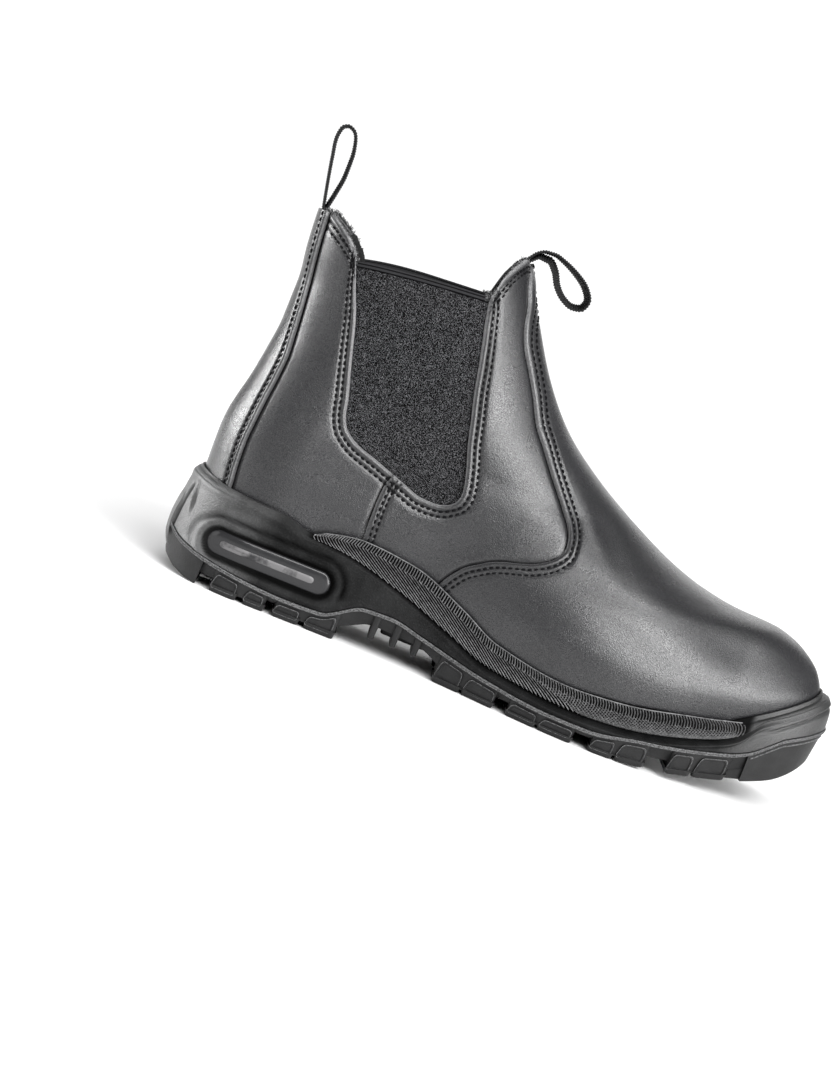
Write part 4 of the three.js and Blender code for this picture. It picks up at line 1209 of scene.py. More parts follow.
def toe_line():
    """The second raised line, across the wall of the toe cap."""
    points, normals = [], []
    for side, step in ((LATERAL, 1), (MEDIAL, -1)):
        plan, normal = sole_plan(side, np.linspace(0, 1, 500), np.full(500, 0.55))
        keep = plan[:, 0] > 272.2
        x = plan[keep, 0]
        points.append(np.column_stack([plan[keep], PARTING(x) - 3.0 + spring(x)])[::step])
        normals.append(np.column_stack([normal[keep], np.zeros(len(x))])[::step])
    parts = Parts()
    add_cord(parts, np.concatenate(points), np.concatenate(normals), np.array([0.0, 0.0, 1.0]), 0.42)
    return parts


def lug_panels(parts, steps):
    """The panels on the lugs' outer faces, or, with the rim steps, a thin pale rim round each of them: a
    painted highlight along the panel's bevel.
    """
    spans = []
    for start, split, end, _, _ in LUG_ROWS:
        spans += [(start + 1.2, split - GROOVE / 2 - 1.1), (split + GROOVE / 2 + 1.2, end - 1.1)]
    for start, split, again, end in HEEL_LUGS:
        spans += [(start + 1.2, split - 0.9), (again + 0.9, end - 1.4)]
    for side in BOTH_SIDES:
        for x0, x1 in spans:
            side_plate(parts, side, x0, x1, steps)


def waist_and_channel(parts):
    """The waist's ribs and plain panel, then the forefoot's channel: slats with a rail on each side."""
    for x in (98.6, 108.6, 118.4):
        for side, inner in ((LATERAL, -19.3), (MEDIAL, 15)):
            tread_block(parts, x + 0.6, x + 3.4, inner, side, low=RIB_BOTTOM, corner=1.0)
    tread_block(parts, 104.5, 130.5, -12.6, y_out=12.6, low=RIB_BOTTOM + 1, top=flat_line(12), corner=1.5)
    reach = 0.085 * SOLE_BALL
    left, right = CHANNEL_MIDDLE - reach, CHANNEL_MIDDLE + reach
    for x in np.arange(143.0, 279, SLAT_PITCH):
        tread_block(parts, x, x + 5.2, left, y_out=right, low=2.0, top=flat_line(6.2), corner=0.8)
    for y in (left - 1.6, right + 1.6):
        for x in np.arange(143.0, 274, SLAT_PITCH):
            tread_block(parts, x, x + 9.6, y - 0.6, y_out=y + 0.6, low=3.4, top=flat_line(6.2), corner=0.5)


def toe_cap(parts):
    def inner(s):
        return [(271.4 + s, 14.0), (271.4 + s, 5.4 + s), (281.5 + s, 0.5), (281.5 + s, -12.8),
                (271.4 + s, -21.4 - s), (271.4 + s, -30.0)]

    end_block(parts, False, 271.4, BOTH_SIDES, inner)
    tread_block(parts, 267.6, 283.0, -16.5, y_out=1.2, low=1.6, top=flat_line(6.5))
    for side in BOTH_SIDES:
        near = abs(float(sole_y(side, 268, TREAD_DRAFT))) - 2.5
        low, high = sorted((side * near, side * (near - 10)))
        tread_block(parts, 264.2, 272.6, low, y_out=high, low=0.7, top=flat_line(6.5))


TONGUE_TOP, TONGUE_HALF, TONGUE_PROUD = 35.5, 13.3, 1.25
# How far the heel's back leans in at each height
HEEL_BACK = curve([(4.9, 6.2), (8.9, 3.0), (12, 1.5), (16, 0.5), (22, 0.2), (29, 0.8), (33, 1.5),
                   (TONGUE_TOP, 2.4)])


def heel_tongue():
    """The tongue of the outsole that climbs the back of the heel, with a groove down each side."""
    a = np.linspace(-1, 1, 25)
    heights = np.concatenate([np.linspace(6, TONGUE_TOP - 4, 16), [TONGUE_TOP - 1.6, TONGUE_TOP]])
    plans = [np.abs(sole_outline(side, np.linspace(0, 0.35, 400))) for side in BOTH_SIDES]
    groove = 0.5 * bump_at(abs(a), 0.8, 0.05)
    rows = []
    for height in heights:
        half = TONGUE_HALF + 0.1 * (height - 10) + 4 * smoothstep(20, 12, height)
        half *= 1 - 0.3 * max((height - TONGUE_TOP + 5) / 5, 0) ** 2
        lateral, medial = (np.interp(abs(a) * half, plan[:, 1], plan[:, 0]) for plan in plans)
        edge = np.clip((1 - abs(a)) / 0.06, 0, 1) * np.clip((TONGUE_TOP - height) / 1.2 + 0.3, 0, 1)
        lean = HEEL_BACK(height) + 0.8 * (1 - edge)
        x = np.where(a < 0, lateral, medial) - TONGUE_PROUD * edge + groove + lean
        rows.append(np.column_stack([x, a * half, np.full(len(a), height)]))
    outer = np.array(rows)
    parts = Parts()
    parts.add(*closed_sheet(outer, outer + [3.0, 0, 0], True))
    return parts


# Heel windows

def capsule_ring(start, end, low, high):
    """A closed ring of 96 points (x, z) round a rounded bar."""
    radius, middle = (high - low) / 2, (high + low) / 2
    turn = np.radians(np.linspace(-90, 90, 24))
    arc = np.stack([np.cos(turn), np.sin(turn)], -1) * radius
    ring = np.concatenate([arc + [end - radius, middle], [start + radius, middle] - arc])
    return resample(np.vstack([ring, ring[:1]]), 97)[:-1]


def domed_capsule(side, box, rings):
    """A rounded bar against the heel's flank: rings of (grow, inset) from its foot to its crown."""
    made = []
    for grow, inset in rings:
        x, z = capsule_ring(**grown(box, grow)).T
        made.append(np.column_stack([x, wall_y(side, x, np.full(len(x), inset)), z]))
    parts = Parts()
    parts.loft(made if side < 0 else np.array(made)[:, ::-1])
    return parts


# How far each ring of a window's lens and of the bar behind it is grown, and how deep it lies
LENS_RINGS = ((0, 5.5), (0.05, 3.3), (-0.25, 2.95), (-0.8, 2.75), (-2.4, 2.6), (-4.2, 2.55))
BAR_RINGS = ((0, 3.2), (0, 2.5), (-0.2, 2.38), (-1.2, 2.35))


# Pull loops

LOOP_BACK = [(0.0385, 1.0), (0.031, 1.06), (0.0225, 1.135), (0.018, 1.186), (0.0205, 1.213), (0.0293, 1.2225),
             (0.0395, 1.214), (0.0462, 1.187), (0.0494, 1.15), (0.0498, 1.1035), (0.046, 1.05), (0.0405, 1.0)]
LOOP_FRONT = [(0.3385, 1.08), (0.3495, 1.106), (0.361, 1.1165), (0.3745, 1.118), (0.3875, 1.112),
              (0.413, 1.092), (0.4326, 1.067), (0.442, 1.0376), (0.437, 1.016), (0.424, 1.011),
              (0.409, 1.021), (0.394, 1.045), (0.382, 1.08), (0.368, 1.1), (0.355, 1.1005), (0.3415, 1.08)]
# How many degrees each loop is turned about its path, at shares of its length
BACK_TWISTS = ((0, 0), (0.4, 2), (0.55, 4), (0.7, 7), (1, 9))
FRONT_TWISTS = ((0, 0), (0.2, 6), (0.45, 12), (0.6, 12), (0.85, 16), (1, 6))
WEBBING_WIDTH, WEBBING_HALF_THICK = 10.0, 0.62
# A quarter of the webbing's section: width and thickness as shares
WEBBING_CORNER = [(-0.5, 0.0), (-0.485, 0.62), (-0.43, 0.95), (-0.3, 1.0), (-0.1, 1.0)]


def webbing_loop(shares, twists):
    """A ribbed ribbon swept along a side view path; twists gives its turn about the path, in degrees."""
    count = 420
    flat = trace([(along(x), upward(z)) for x, z in shares], count)
    path = np.column_stack([flat[:, 0], np.zeros(count), flat[:, 1]])
    run = run_of(path)
    sideways = np.array([0.0, 1.0, 0.0])
    outwards = np.cross(sideways, unit(np.gradient(path, axis=0)))
    angle = np.radians(hermite(*zip(*twists), np.linspace(0, 1, count)))[:, None]
    wide = sideways * np.cos(angle) + outwards * np.sin(angle)
    thick = -sideways * np.sin(angle) + outwards * np.cos(angle)
    turns = np.linspace(0, run[-1], count) / (boot_sizes().webbing_pitch / MM)
    ribs = 0.2 * np.sin(2 * math.pi * turns)[:, None]
    upper = WEBBING_CORNER + [(-w, h) for w, h in WEBBING_CORNER[::-1]]
    section = upper + [(w, -h) for w, h in upper[-2:0:-1]]
    parts = Parts()
    parts.loft(np.stack([path + wide * (w * WEBBING_WIDTH) + thick * h * (WEBBING_HALF_THICK + ribs)
                         for w, h in section], 1))
    return parts


# Inside: lining, elastic panels and insole

def collar_height(side, x):
    """The collar's height at x; the inner side stands a little higher at the back."""
    return COLLAR_LINE(x - 1.2 * (side > 0)) + 0.8 * (side > 0)


FOOT_LEVEL = 24.0


def lining_mesh():
    """The textile lining, open at the top, a little short of the leather and the elastic."""
    up = np.concatenate([np.linspace(0, 0.8, 26), np.linspace(0.82, 1, 14)])

    def ring_at(offset, share_up):
        def make(side, shares):
            level = np.full(len(shares), 150.0)
            for _ in range(12):
                x = last_flat(side, shares, level)[:, 0]
                in_window = smoothstep(34, 38, x) * smoothstep(94, 91, x)
                top = collar_height(side, x) - spring(x) - 1.2 - 5.0 * in_window
                top += 0.35 * np.sin(shares * 190 + side) + 0.25 * np.sin(shares * 431)
                level = FOOT_LEVEL + (top - FOOT_LEVEL) * share_up
            behind_gore = smoothstep(24, 32, x) * smoothstep(122, 112, x) * smoothstep(60, 66, level)
            return last_face(side, shares, level, offset - 1.9 * behind_gore)

        return full_ring(make, np.linspace(0, 1, 150))

    parts = Parts()
    steps = [(-2.5, t) for t in up] + [(-2.9, 1.008)] + [(-3.5, t) for t in up[::-1]]
    parts.loft([ring_at(*step) for step in steps], capped=False)
    return parts


def collar_fuzz():
    """Loose fibres along the lining's top edge at the back and in front."""
    rng = np.random.default_rng(7)
    parts = Parts()
    for side in BOTH_SIDES:
        for low, high, count in ((9.5, 34.0, 520), (92.0, 106.5, 460)):
            x = rng.uniform(low, high, count)
            level = collar_height(side, x) - rng.uniform(-0.3, 2.4, count) - spring(x)
            share = share_of(x, level)
            root = last_face(side, share, level, rng.uniform(-3.6, -2.0, count))
            normal = last_normal(side, share, level)
            lean = normal * rng.normal(0, 0.5, (count, 1)) + rng.normal(0, 0.45, (count, 3)) + [0, 0, 1]
            lean = unit(lean)
            reach = rng.uniform(0.5, 1.5, (count, 1))
            thick = rng.uniform(0.1, 0.24, (count, 1))
            aside = unit(np.cross(lean, [1.0, 0.3, 0.2]))
            other = np.cross(lean, aside)
            bend = rng.normal(0, 0.25, (count, 3))
            corners = [(aside * math.cos(a) + other * math.sin(a)) * thick for a in (0, 2.094, 4.189)]
            fibres = np.array([[root + lean * reach * t + bend * t * t + corner * w for corner in corners]
                               for t, w in ((0.0, 1.0), (0.55, 0.9), (1.0, 0.15))])
            for i in range(count):
                parts.loft(fibres[:, :, i])
    return parts


GORE_LOW, GORE_ROWS, GORE_COLUMNS = 66.0, 130, 90
GORE_OUTER, GORE_INNER, GORE_UNDER = -2.6, -4.2, 5
HEM_LINES = (2.5, 0.95)


def gore_mesh(side):
    """An elastic panel behind its window, with a hem along the top."""
    back_path, front_path = trace(GORE_BACK, 600), trace(GORE_FRONT, 600)
    t = np.concatenate([np.linspace(0, 0.94, GORE_ROWS - 50), np.linspace(0.94, 1, 51)[1:]])[:, None]
    s = np.linspace(0, 1, GORE_COLUMNS)[None, :]
    straight_top = curve(GORE_TOP)

    def top_line(at):
        return straight_top(at) + (0.6 * bump_at(at, 52, 18) if side > 0 else 0)

    x = np.broadcast_to(20 + 90 * s, (GORE_ROWS, GORE_COLUMNS))
    for _ in range(6):
        z = GORE_LOW + t * (top_line(x) - GORE_LOW)
        back = np.interp(z, back_path[::-1, 1], back_path[::-1, 0]) - GORE_UNDER
        front = np.interp(z, front_path[:, 1], front_path[:, 0]) + GORE_UNDER
        front = np.where(z < 84, 118, front)
        x = back + s * (front - back)
    z = GORE_LOW + t * (top_line(x) - GORE_LOW)
    share, level = np.moveaxis(on_last(np.stack([x, z], -1)), -1, 0)
    from_top = top_line(x) - z
    run = run_along(last_flat(side, share, level), 1)
    wales = 0.07 * np.sin(run * 2 * math.pi / (boot_sizes().elastic_pitch / MM))
    seam, fold = HEM_LINES
    hem = 0.45 * smoothstep(2.6, 2.2, from_top) - 0.7 * bump_at(from_top, seam, 0.22)
    hem = hem - 0.6 * bump_at(from_top, fold, 0.2)
    rolled = np.where(from_top < 0.5, 0.5 - np.sqrt(np.clip(0.25 - (0.5 - from_top) ** 2, 0, 1)), 0)
    outer = last_face(side, share, level, GORE_OUTER + wales + hem - rolled)
    inner = last_face(side, share, level, GORE_INNER + rolled)
    uv = np.tile(np.stack([run.ravel(), z.ravel()], -1), (2, 1))
    line = np.maximum(bump_at(from_top, seam, 0.28), bump_at(from_top, fold, 0.22))
    attributes = {"hem": np.tile(smoothstep(2.75, 2.35, from_top).ravel(), 2),
                  "hem_line": np.tile(line.ravel(), 2)}
    return *closed_sheet(outer, inner, side > 0), uv, attributes


# How far each of the insole's rings is drawn in, and how high it lies over the footbed
INSOLE_RINGS = ((0.0, 0.7), (0.0, 3.4), (0.03, 4.3), (0.2, 4.1), (0.6, 3.8))


def insole_mesh():
    """A thin foam insole on the footbed, cupped at its edge."""

    def ring_at(drawn_in, lift):
        def make(side, shares):
            level = np.maximum(FOOTBED(sole_outline(side, shares)[:, 0]), 12.5) + lift
            face = last_face(side, shares, level, np.full(len(shares), -4.6))
            middle = RIDGE(face[:, 0])
            face[:, 1] = middle + (face[:, 1] - middle) * (1 - drawn_in)
            face[:, 0] = LENGTH / 2 + (face[:, 0] - LENGTH / 2) * (1 - drawn_in * 0.12)
            return face

        return full_ring(make)

    rings = [ring_at(*ring) for ring in INSOLE_RINGS]
    flat_middle, low = rings[-1].copy(), rings[0].copy()
    flat_middle[:, 1] = RIDGE(flat_middle[:, 0])
    low[:, 1] = RIDGE(low[:, 0]) + (low[:, 1] - RIDGE(low[:, 0])) * 0.05
    parts = Parts()
    parts.loft([low, *rings, flat_middle * [0.98, 1, 1] + [LENGTH * 0.01, 0, 0]])
    return parts


# Finishes

def rgba(colour, factor=1.0):
    """A colour as a shader's socket takes it, made darker or paler by a factor."""
    return (*[channel * factor for channel in colour[:3]], 1)


# The first is near black, for the painted shadow beside an overlay's edge and the elastic hem's dark lines;
# the second is painted shade in the foam's recesses
NEARLY_BLACK, PAINTED_RECESS_SHADE = (0.0005,) * 3, (0.002,) * 3


class Wiring:
    """Short ways to wire a tree of nodes. A value is a number, a colour or a node's output."""

    def __init__(self, tree):
        self.nodes, self.links = tree.nodes, tree.links

    def fill(self, node, *sockets):
        """Gives each socket its value, or links an output to it."""
        for key, value in sockets:
            if isinstance(value, bpy.types.NodeSocket):
                self.links.new(value, node.inputs[key])
            else:
                node.inputs[key].default_value = value

    def node(self, kind, output, *sockets, **settings):
        """Adds a node and returns one of its outputs, or the node itself where output is None."""
        node = self.nodes.new(kind)
        for key, value in settings.items():
            setattr(node, key, value)
        self.fill(node, *sockets)
        return node.outputs[output] if output else node

    def spread(self, value, low, high, to_low=0.0, to_high=1.0, **settings):
        return self.node("ShaderNodeMapRange", "Result", ("Value", value), ("From Min", low),
                         ("From Max", high), ("To Min", to_low), ("To Max", to_high), **settings)

    def worked_out(self, operation, *values, clamp=False):
        return self.node("ShaderNodeMath", "Value", *enumerate(values), operation=operation, use_clamp=clamp)


class Finish(Wiring):
    """A material, with the textures and tones that the boot's finishes share."""

    def __init__(self, name, tint, roughness, shine):
        self.material = bpy.data.materials.new(name)
        self.material.use_nodes = True
        super().__init__(self.material.node_tree)
        self.shader = next(node for node in self.nodes if node.type == "BSDF_PRINCIPLED")
        self.base = getattr(boot_colours(), tint)
        self.shine(roughness, shine)
        self.colour(self.tone())

    def tone(self, share=1.0):
        """The finish's own colour, or a share of it."""
        return rgba(self.base, share)

    def colour(self, value):
        self.fill(self.shader, ("Base Color", value))

    def shine(self, roughness, strength):
        self.fill(self.shader, ("Roughness", roughness), ("Specular IOR Level", strength))

    def place(self):
        """The object's own coordinates, in metres."""
        return self.node("ShaderNodeTexCoord", "Object")

    def noise(self, size, detail=2.0, roughness=0.5):
        """Noise with features of about the given size in metres."""
        return self.node("ShaderNodeTexNoise", "Fac", ("Vector", self.place()), ("Scale", 1 / size),
                         ("Detail", detail), ("Roughness", roughness))

    def mark(self, name):
        """An attribute of the mesh."""
        return self.node("ShaderNodeAttribute", "Fac", attribute_name=name)

    def mixed(self, factor, first, second):
        """A colour from the first to the second by a factor."""
        return self.node("ShaderNodeMix", "Result", ("Factor", factor), ("A", first), ("B", second),
                         data_type="RGBA")

    def grain(self, depth, *heights):
        """Bumps from several (value, strength) pairs, one on top of the other."""
        below = ()
        for value, strength in heights:
            bump = self.node("ShaderNodeBump", "Normal", ("Height", value), ("Strength", strength),
                             ("Distance", depth), *below)
            below = (("Normal", bump),)
        self.fill(self.shader, *below)


def leather_finish():
    """Full-grain leather: soft pebbles, finer pores, paler patches of wear, pale cut edges and a painted
    highlight on the leather beside them.
    """
    finish = Finish("leather", "leather", 0.33, 0.55)
    cells = finish.node("ShaderNodeTexVoronoi", "Distance", ("Vector", finish.place()), ("Scale", 1 / 0.0006))
    pebbles = finish.spread(cells, 0.05, 0.75)
    pores, waves, cloud = finish.noise(0.00042), finish.noise(0.011), finish.noise(0.022, 3.0, 0.6)
    finish.grain(0.00026, (waves, 0.02), (pebbles, 0.2), (pores, 0.45))
    paled = finish.mixed(finish.spread(cloud, 0.42, 0.68), finish.tone(), finish.tone(1.35))
    # The pale cut edges, ragged in spots, and a painted highlight on the leather beside them
    cut_edge_and_highlight = finish.worked_out("MULTIPLY_ADD", finish.mark("near_edge"), 0.75, finish.mark("cut_edge"))
    frayed = finish.spread(finish.noise(0.0007), 0.35, 0.65, 0.45, 1.0)
    amount = finish.worked_out("MULTIPLY", cut_edge_and_highlight, frayed, clamp=True)
    edged = finish.mixed(amount, paled, rgba(boot_colours().cut_edge))
    # Painted shadow: a near black line with little shine along an overlay's edge, where that edge casts shade
    gap = finish.mark("gap")
    finish.colour(finish.mixed(gap, edged, rgba(NEARLY_BLACK)))
    glints = finish.spread(pores, 0.28, 0.72, 0.28, 0.96)
    shine = finish.worked_out("MULTIPLY", glints, finish.spread(gap, 0, 1, 1, 0.05))
    finish.shine(finish.spread(cloud, 0.35, 0.7, 0.3, 0.25), shine)
    return finish.material


def elastic_finish():
    """Woven elastic: near black, finely flecked pale as painted glints on its threads. Its hem is plain, with
    dark lines.
    """
    finish = Finish("elastic", "elastic", 0.9, 0.08)
    surface = finish.node("ShaderNodeUVMap", "UV", uv_map="surface")
    threads = finish.node("ShaderNodeMapping", "Vector", ("Vector", surface), ("Scale", (6.2, 5.2, 1)))
    fleck = finish.node("ShaderNodeTexVoronoi", None, ("Vector", threads), ("Scale", 1.0))
    # Painted glints: pale flecks on the weave, which has almost no shine of its own
    pale = finish.spread(fleck.outputs["Color"], 0.64, 0.88)
    flecked = finish.mixed(pale, finish.tone(0.02), finish.tone(7.2))
    hemmed = finish.mixed(finish.mark("hem"), flecked, finish.tone(1.1))
    finish.colour(finish.mixed(finish.mark("hem_line"), hemmed, rgba(NEARLY_BLACK)))
    finish.shine(0.9, finish.spread(finish.noise(0.02), 0.3, 0.7, 0.01, 0.04))
    finish.grain(0.0002, (fleck.outputs["Distance"], 0.4))
    return finish.material


def foam_finish():
    """Moulded foam of the midsole: matte and very finely grained, with a painted highlight towards the heel's
    back in mottled patches and pale flecks, and painted shade in its recesses.
    """
    finish = Finish("midsole foam", "midsole", 0.5, 0.4)
    fine = finish.noise(0.0008, 3.0, 0.7)
    finish.grain(0.0005, (fine, 0.6))
    along_boot = finish.node("ShaderNodeSeparateXYZ", "X", ("Vector", finish.place()))
    # Painted highlight: paler towards the heel's back, where the light from the left falls, in mottled
    # patches and pale flecks
    heel_highlight = finish.spread(along_boot, -0.105, -0.142, 0.25, 1.5)
    mottled_heel_highlight = finish.worked_out("MULTIPLY", heel_highlight, finish.spread(finish.noise(0.012), 0.38, 0.6, 0.1, 0.6))
    specks = finish.worked_out("MULTIPLY", finish.spread(fine, 0.5, 0.68), heel_highlight)
    painted_heel_highlight = finish.worked_out("MULTIPLY_ADD", specks, 0.6, mottled_heel_highlight, clamp=True)
    # Painted shade: near black in the recesses
    recess = finish.mark("recess")
    paled = finish.mixed(painted_heel_highlight, finish.tone(0.5), finish.tone(6))
    finish.colour(finish.mixed(recess, paled, rgba(PAINTED_RECESS_SHADE)))
    sheen = finish.spread(finish.worked_out("ABSOLUTE", along_boot), 0.105, 0.14, 0.07, 1.0)
    shine = finish.worked_out("MULTIPLY", sheen, finish.spread(recess, 0, 1, 1, 0.15))
    finish.shine(finish.spread(recess, 0, 1, 0.46, 0.8), shine)
    return finish.material


def mottled(name, tint, roughness, shine, noise, tones=None, bump=None, tone_noise=None):
    """A finish with a grain, in two tones.

    noise is a size, detail and roughness, tones where the noise turns from dark to pale and both as
    shares of the tint, and bump the grain's strength and depth.
    """
    finish = Finish(name, tint, roughness, shine)
    grain = finish.noise(*noise)
    if bump:
        finish.grain(bump[1], (grain, bump[0]))
    if tones:
        low, high, dark, pale = tones
        tone = finish.spread(finish.noise(*tone_noise) if tone_noise else grain, low, high)
        finish.colour(finish.mixed(tone, finish.tone(dark), finish.tone(pale)))
    return finish.material


def rib_finish():
    """The band's ribs: the same foam, coloured much paler as a painted highlight on their ridges."""
    return mottled("midsole ribs", "ribs", 0.5, 0.35, (0.0012,), (0.35, 0.65, 0.6, 1.5))


def rubber_finish():
    return mottled("rubber", "rubber", 0.5, 0.28, (0.0008, 3, 0.7), (0.4, 0.7, 1, 1.7),
                   (0.35, 0.0004), tone_noise=(0.006, 3, 0.6))


def flash_and_rim_highlight_finish():
    """Moulding flash: the same rubber, rough and paler in spots. Round the lugs' panels the paleness is a
    painted highlight on their bevels.
    """
    return mottled("flash", "flash", 0.55, 0.5, (0.0007, 2, 0.7), (0.4, 0.62, 0.3, 1.9),
                   (0.8, 0.0006))


def thread_finish():
    return mottled("thread", "thread", 0.85, 0.08, (0.0003, 1), bump=(0.5, 0.0002))


def webbing_finish():
    return mottled("webbing", "webbing", 0.75, 0.15, (0.0004, 3, 0.7), (0.35, 0.65, 0.6, 1.6),
                   (0.6, 0.0004))


def lining_finish():
    return mottled("lining", "lining", 0.9, 0.2, (0.0009, 4, 0.75), (0.35, 0.65, 0.6, 1.5),
                   (0.8, 0.0008))


def fuzz_finish():
    """The lining's loose fibres, pale in patches."""
    return mottled("fuzz", "fuzz", 0.9, 0.1, (0.0011, 3, 0.7), (0.42, 0.62, 0.08, 1.5))


def insole_finish():
    return mottled("insole", "insole", 0.9, 0.2, (0.0008, 3, 0.7), (0.35, 0.65, 0.7, 1.3),
                   (0.5, 0.0005))


def floor_finish():
    return mottled("floor", "floor", 0.9, 0.1, (0.8, 1), (0.3, 0.7, 0.995, 1))


def lens_finish():
    finish = Finish("clear window", "lens", 0.2, 0.35)
    finish.shine(finish.spread(finish.noise(0.004), 0.3, 0.7, 0.1, 0.22), 0.35)
    return finish.material


def window_bar_finish():
    """The bar behind the window, seen in broken patches through the scratched pane."""
    finish = Finish("window bar", "window_bar", 0.35, 0.3)
    patches = finish.spread(finish.noise(0.011, 4.0, 0.6), 0.44, 0.56)
    finish.colour(finish.mixed(patches, rgba(boot_colours().lens), finish.tone()))
    return finish.material


# Settings

def length_setting(name, description, default):
    return bpy.props.FloatProperty(name=name, description=description, default=default, unit="LENGTH",
                                   subtype="DISTANCE")


def colour_setting(name, description, default):
    return bpy.props.FloatVectorProperty(name=name, description=description, default=default, size=3, min=0,
                                         max=1, subtype="COLOR")


class BootSizes(bpy.types.PropertyGroup):
    leather_thickness: length_setting("Leather", "Thickness of the leather", 0.0022)
    stitch_pitch: length_setting("Stitch pitch", "Distance from one stitch to the next", 0.0028)
    stitch_length: length_setting("Stitch length", "Length of one stitch", 0.0019)
    thread_width: length_setting("Thread", "Width of the sewing thread", 0.0008)
    stitch_groove: length_setting("Stitch groove", "How deep the thread sinks into the leather", 0.0006)
    rib_pitch: length_setting("Rib pitch", "Distance between the upright ribs of the midsole's band", 0.0013)
    webbing_pitch: length_setting("Webbing pitch", "Distance between the ribs of the webbing", 0.0011)
    elastic_pitch: length_setting("Elastic pitch", "Distance between the wales of the elastic", 0.0012)


class BootColours(bpy.types.PropertyGroup):
    leather: colour_setting("Leather", "Dyed full-grain leather", (0.011, 0.011, 0.012))
    cut_edge: colour_setting("Cut edge", "Raw cut edges of the leather", (0.3, 0.3, 0.305))
    thread: colour_setting("Thread", "Sewing thread", (0.004, 0.004, 0.0045))
    elastic: colour_setting("Elastic", "Woven elastic panels", (0.02, 0.02, 0.021))
    fuzz: colour_setting("Fuzz", "Loose fibres along the collar", (0.12, 0.12, 0.122))
    lining: colour_setting("Lining", "Textile lining", (0.012, 0.012, 0.0123))
    midsole: colour_setting("Midsole", "Foamed midsole", (0.007, 0.0071, 0.0072))
    ribs: colour_setting("Ribs", "Ribs of the midsole's band", (0.085, 0.085, 0.0865))
    rubber: colour_setting("Rubber", "Rubber outsole", (0.006, 0.006, 0.0062))
    flash: colour_setting("Flash", "Rough line where the outsole meets the midsole", (0.065, 0.065, 0.0664))
    lens: colour_setting("Heel window", "Clear window over a dark base", (0.016, 0.016, 0.017))
    window_bar: colour_setting("Window bar", "Plain bar under the window", (0.1, 0.098, 0.1))
    webbing: colour_setting("Webbing", "Pull loops", (0.008, 0.008, 0.0083))
    insole: colour_setting("Insole", "Insole cloth", (0.06, 0.06, 0.06))
    floor: colour_setting("Floor", "Floor and backdrop", (0.9, 0.9, 0.9))


def boot_sizes():
    return bpy.context.scene.boot_sizes


def boot_colours():
    return bpy.context.scene.boot_colours


FINISHES = {}


def made_once(finish):
    """The material that a finish makes, made when it's first needed."""
    if finish not in FINISHES or FINISHES[finish].name not in bpy.data.materials:
        FINISHES[finish] = finish()
    return FINISHES[finish]


# Building steps

def cut_distance(side, grid, axis=1, last=False):
    """Distances of a grid's points from its first (or last) column or row."""
    run = run_along(flat_points(side, grid), axis)
    return np.take(run, [-1], axis=axis) - run if last else run


def quarters(side):
    """The two quarter panels of one side, as (grid, offset, edges)."""
    rear = quarter_grid(side, REAR_KEYS, 120, [(0, COLLAR_BACK[::-1])])
    front = quarter_grid(side, FRONT_KEYS, 140, [(0, SIDE_SEAM), (-1, COLLAR_FRONT)])
    return ((rear, REAR_OFFSET, ((cut_distance(side, rear), GORE_STITCH_ROWS),
                                 (cut_distance(side, rear, 0), COLLAR_STITCHES))),
            (front, FRONT_OFFSET, ((cut_distance(side, front), GORE_STITCH_ROWS),
                                   (cut_distance(side, front, 0), SEAM_STITCHES),
                                   (cut_distance(side, front, 0, True), GORE_STITCH_ROWS))))


def grid_row(side, grid, distance, wanted):
    """The side view path at a distance from a grid's first column."""
    spots = [at_run(wanted, along_row, row) for along_row, row in zip(distance, grid)]
    return flat_points(side, np.array(spots))[:, [0, 2]]


def grid_column(side, grid, distance, wanted, first, last):
    """The side view path at a distance from a grid's end row, short of its own ends by first and last."""
    spots = []
    for c in range(grid.shape[1]):
        order = np.argsort(distance[:, c])
        spots.append(at_run(wanted, distance[order, c], grid[order, c]))
    path = resample(flat_points(side, np.array(spots))[:, [0, 2]], 400)
    run = np.linspace(0, run_of(path)[-1], 400)
    return path[(run > first) & (run < run[-1] - last)]


def above_sole(path):
    """The part of a side view path that the midsole doesn't cover."""
    return path[path[:, 1] > SOLE_TOP(path[:, 0]) + spring(path[:, 0]) - 1.0]


def stitch_rows(side, vamp, strip):
    """The side view path of each stitch row of one side, and how far off the last it lies."""
    for grid, distance, rows in ((vamp, from_edge(side, vamp, VAMP_EDGE), STITCH_ROWS),
                                 (strip, cut_distance(side, strip), STRIP_STITCH_ROWS)):
        for row in rows:
            yield above_sole(grid_row(side, grid, distance, row)), OVERLAY_OFFSET
    rear, front = quarters(side)
    for grid, offset, edges in (rear, front):
        for row in GORE_STITCH_ROWS:
            yield grid_row(side, grid, edges[0][0], row)[1:-1], offset
    for row in COLLAR_STITCHES:
        yield grid_column(side, rear[0], rear[2][1][0], row, 2.0, 3.4), REAR_OFFSET
    for row in GORE_STITCH_ROWS:
        yield grid_column(side, front[0], front[2][2][0], row, row, 2.0), FRONT_OFFSET
    for row in SEAM_STITCHES:
        yield above_sole(grid_column(side, front[0], front[2][1][0], row, 2.0, 1.0)), FRONT_OFFSET


def side_tag(side):
    return "lateral" if side < 0 else "medial"


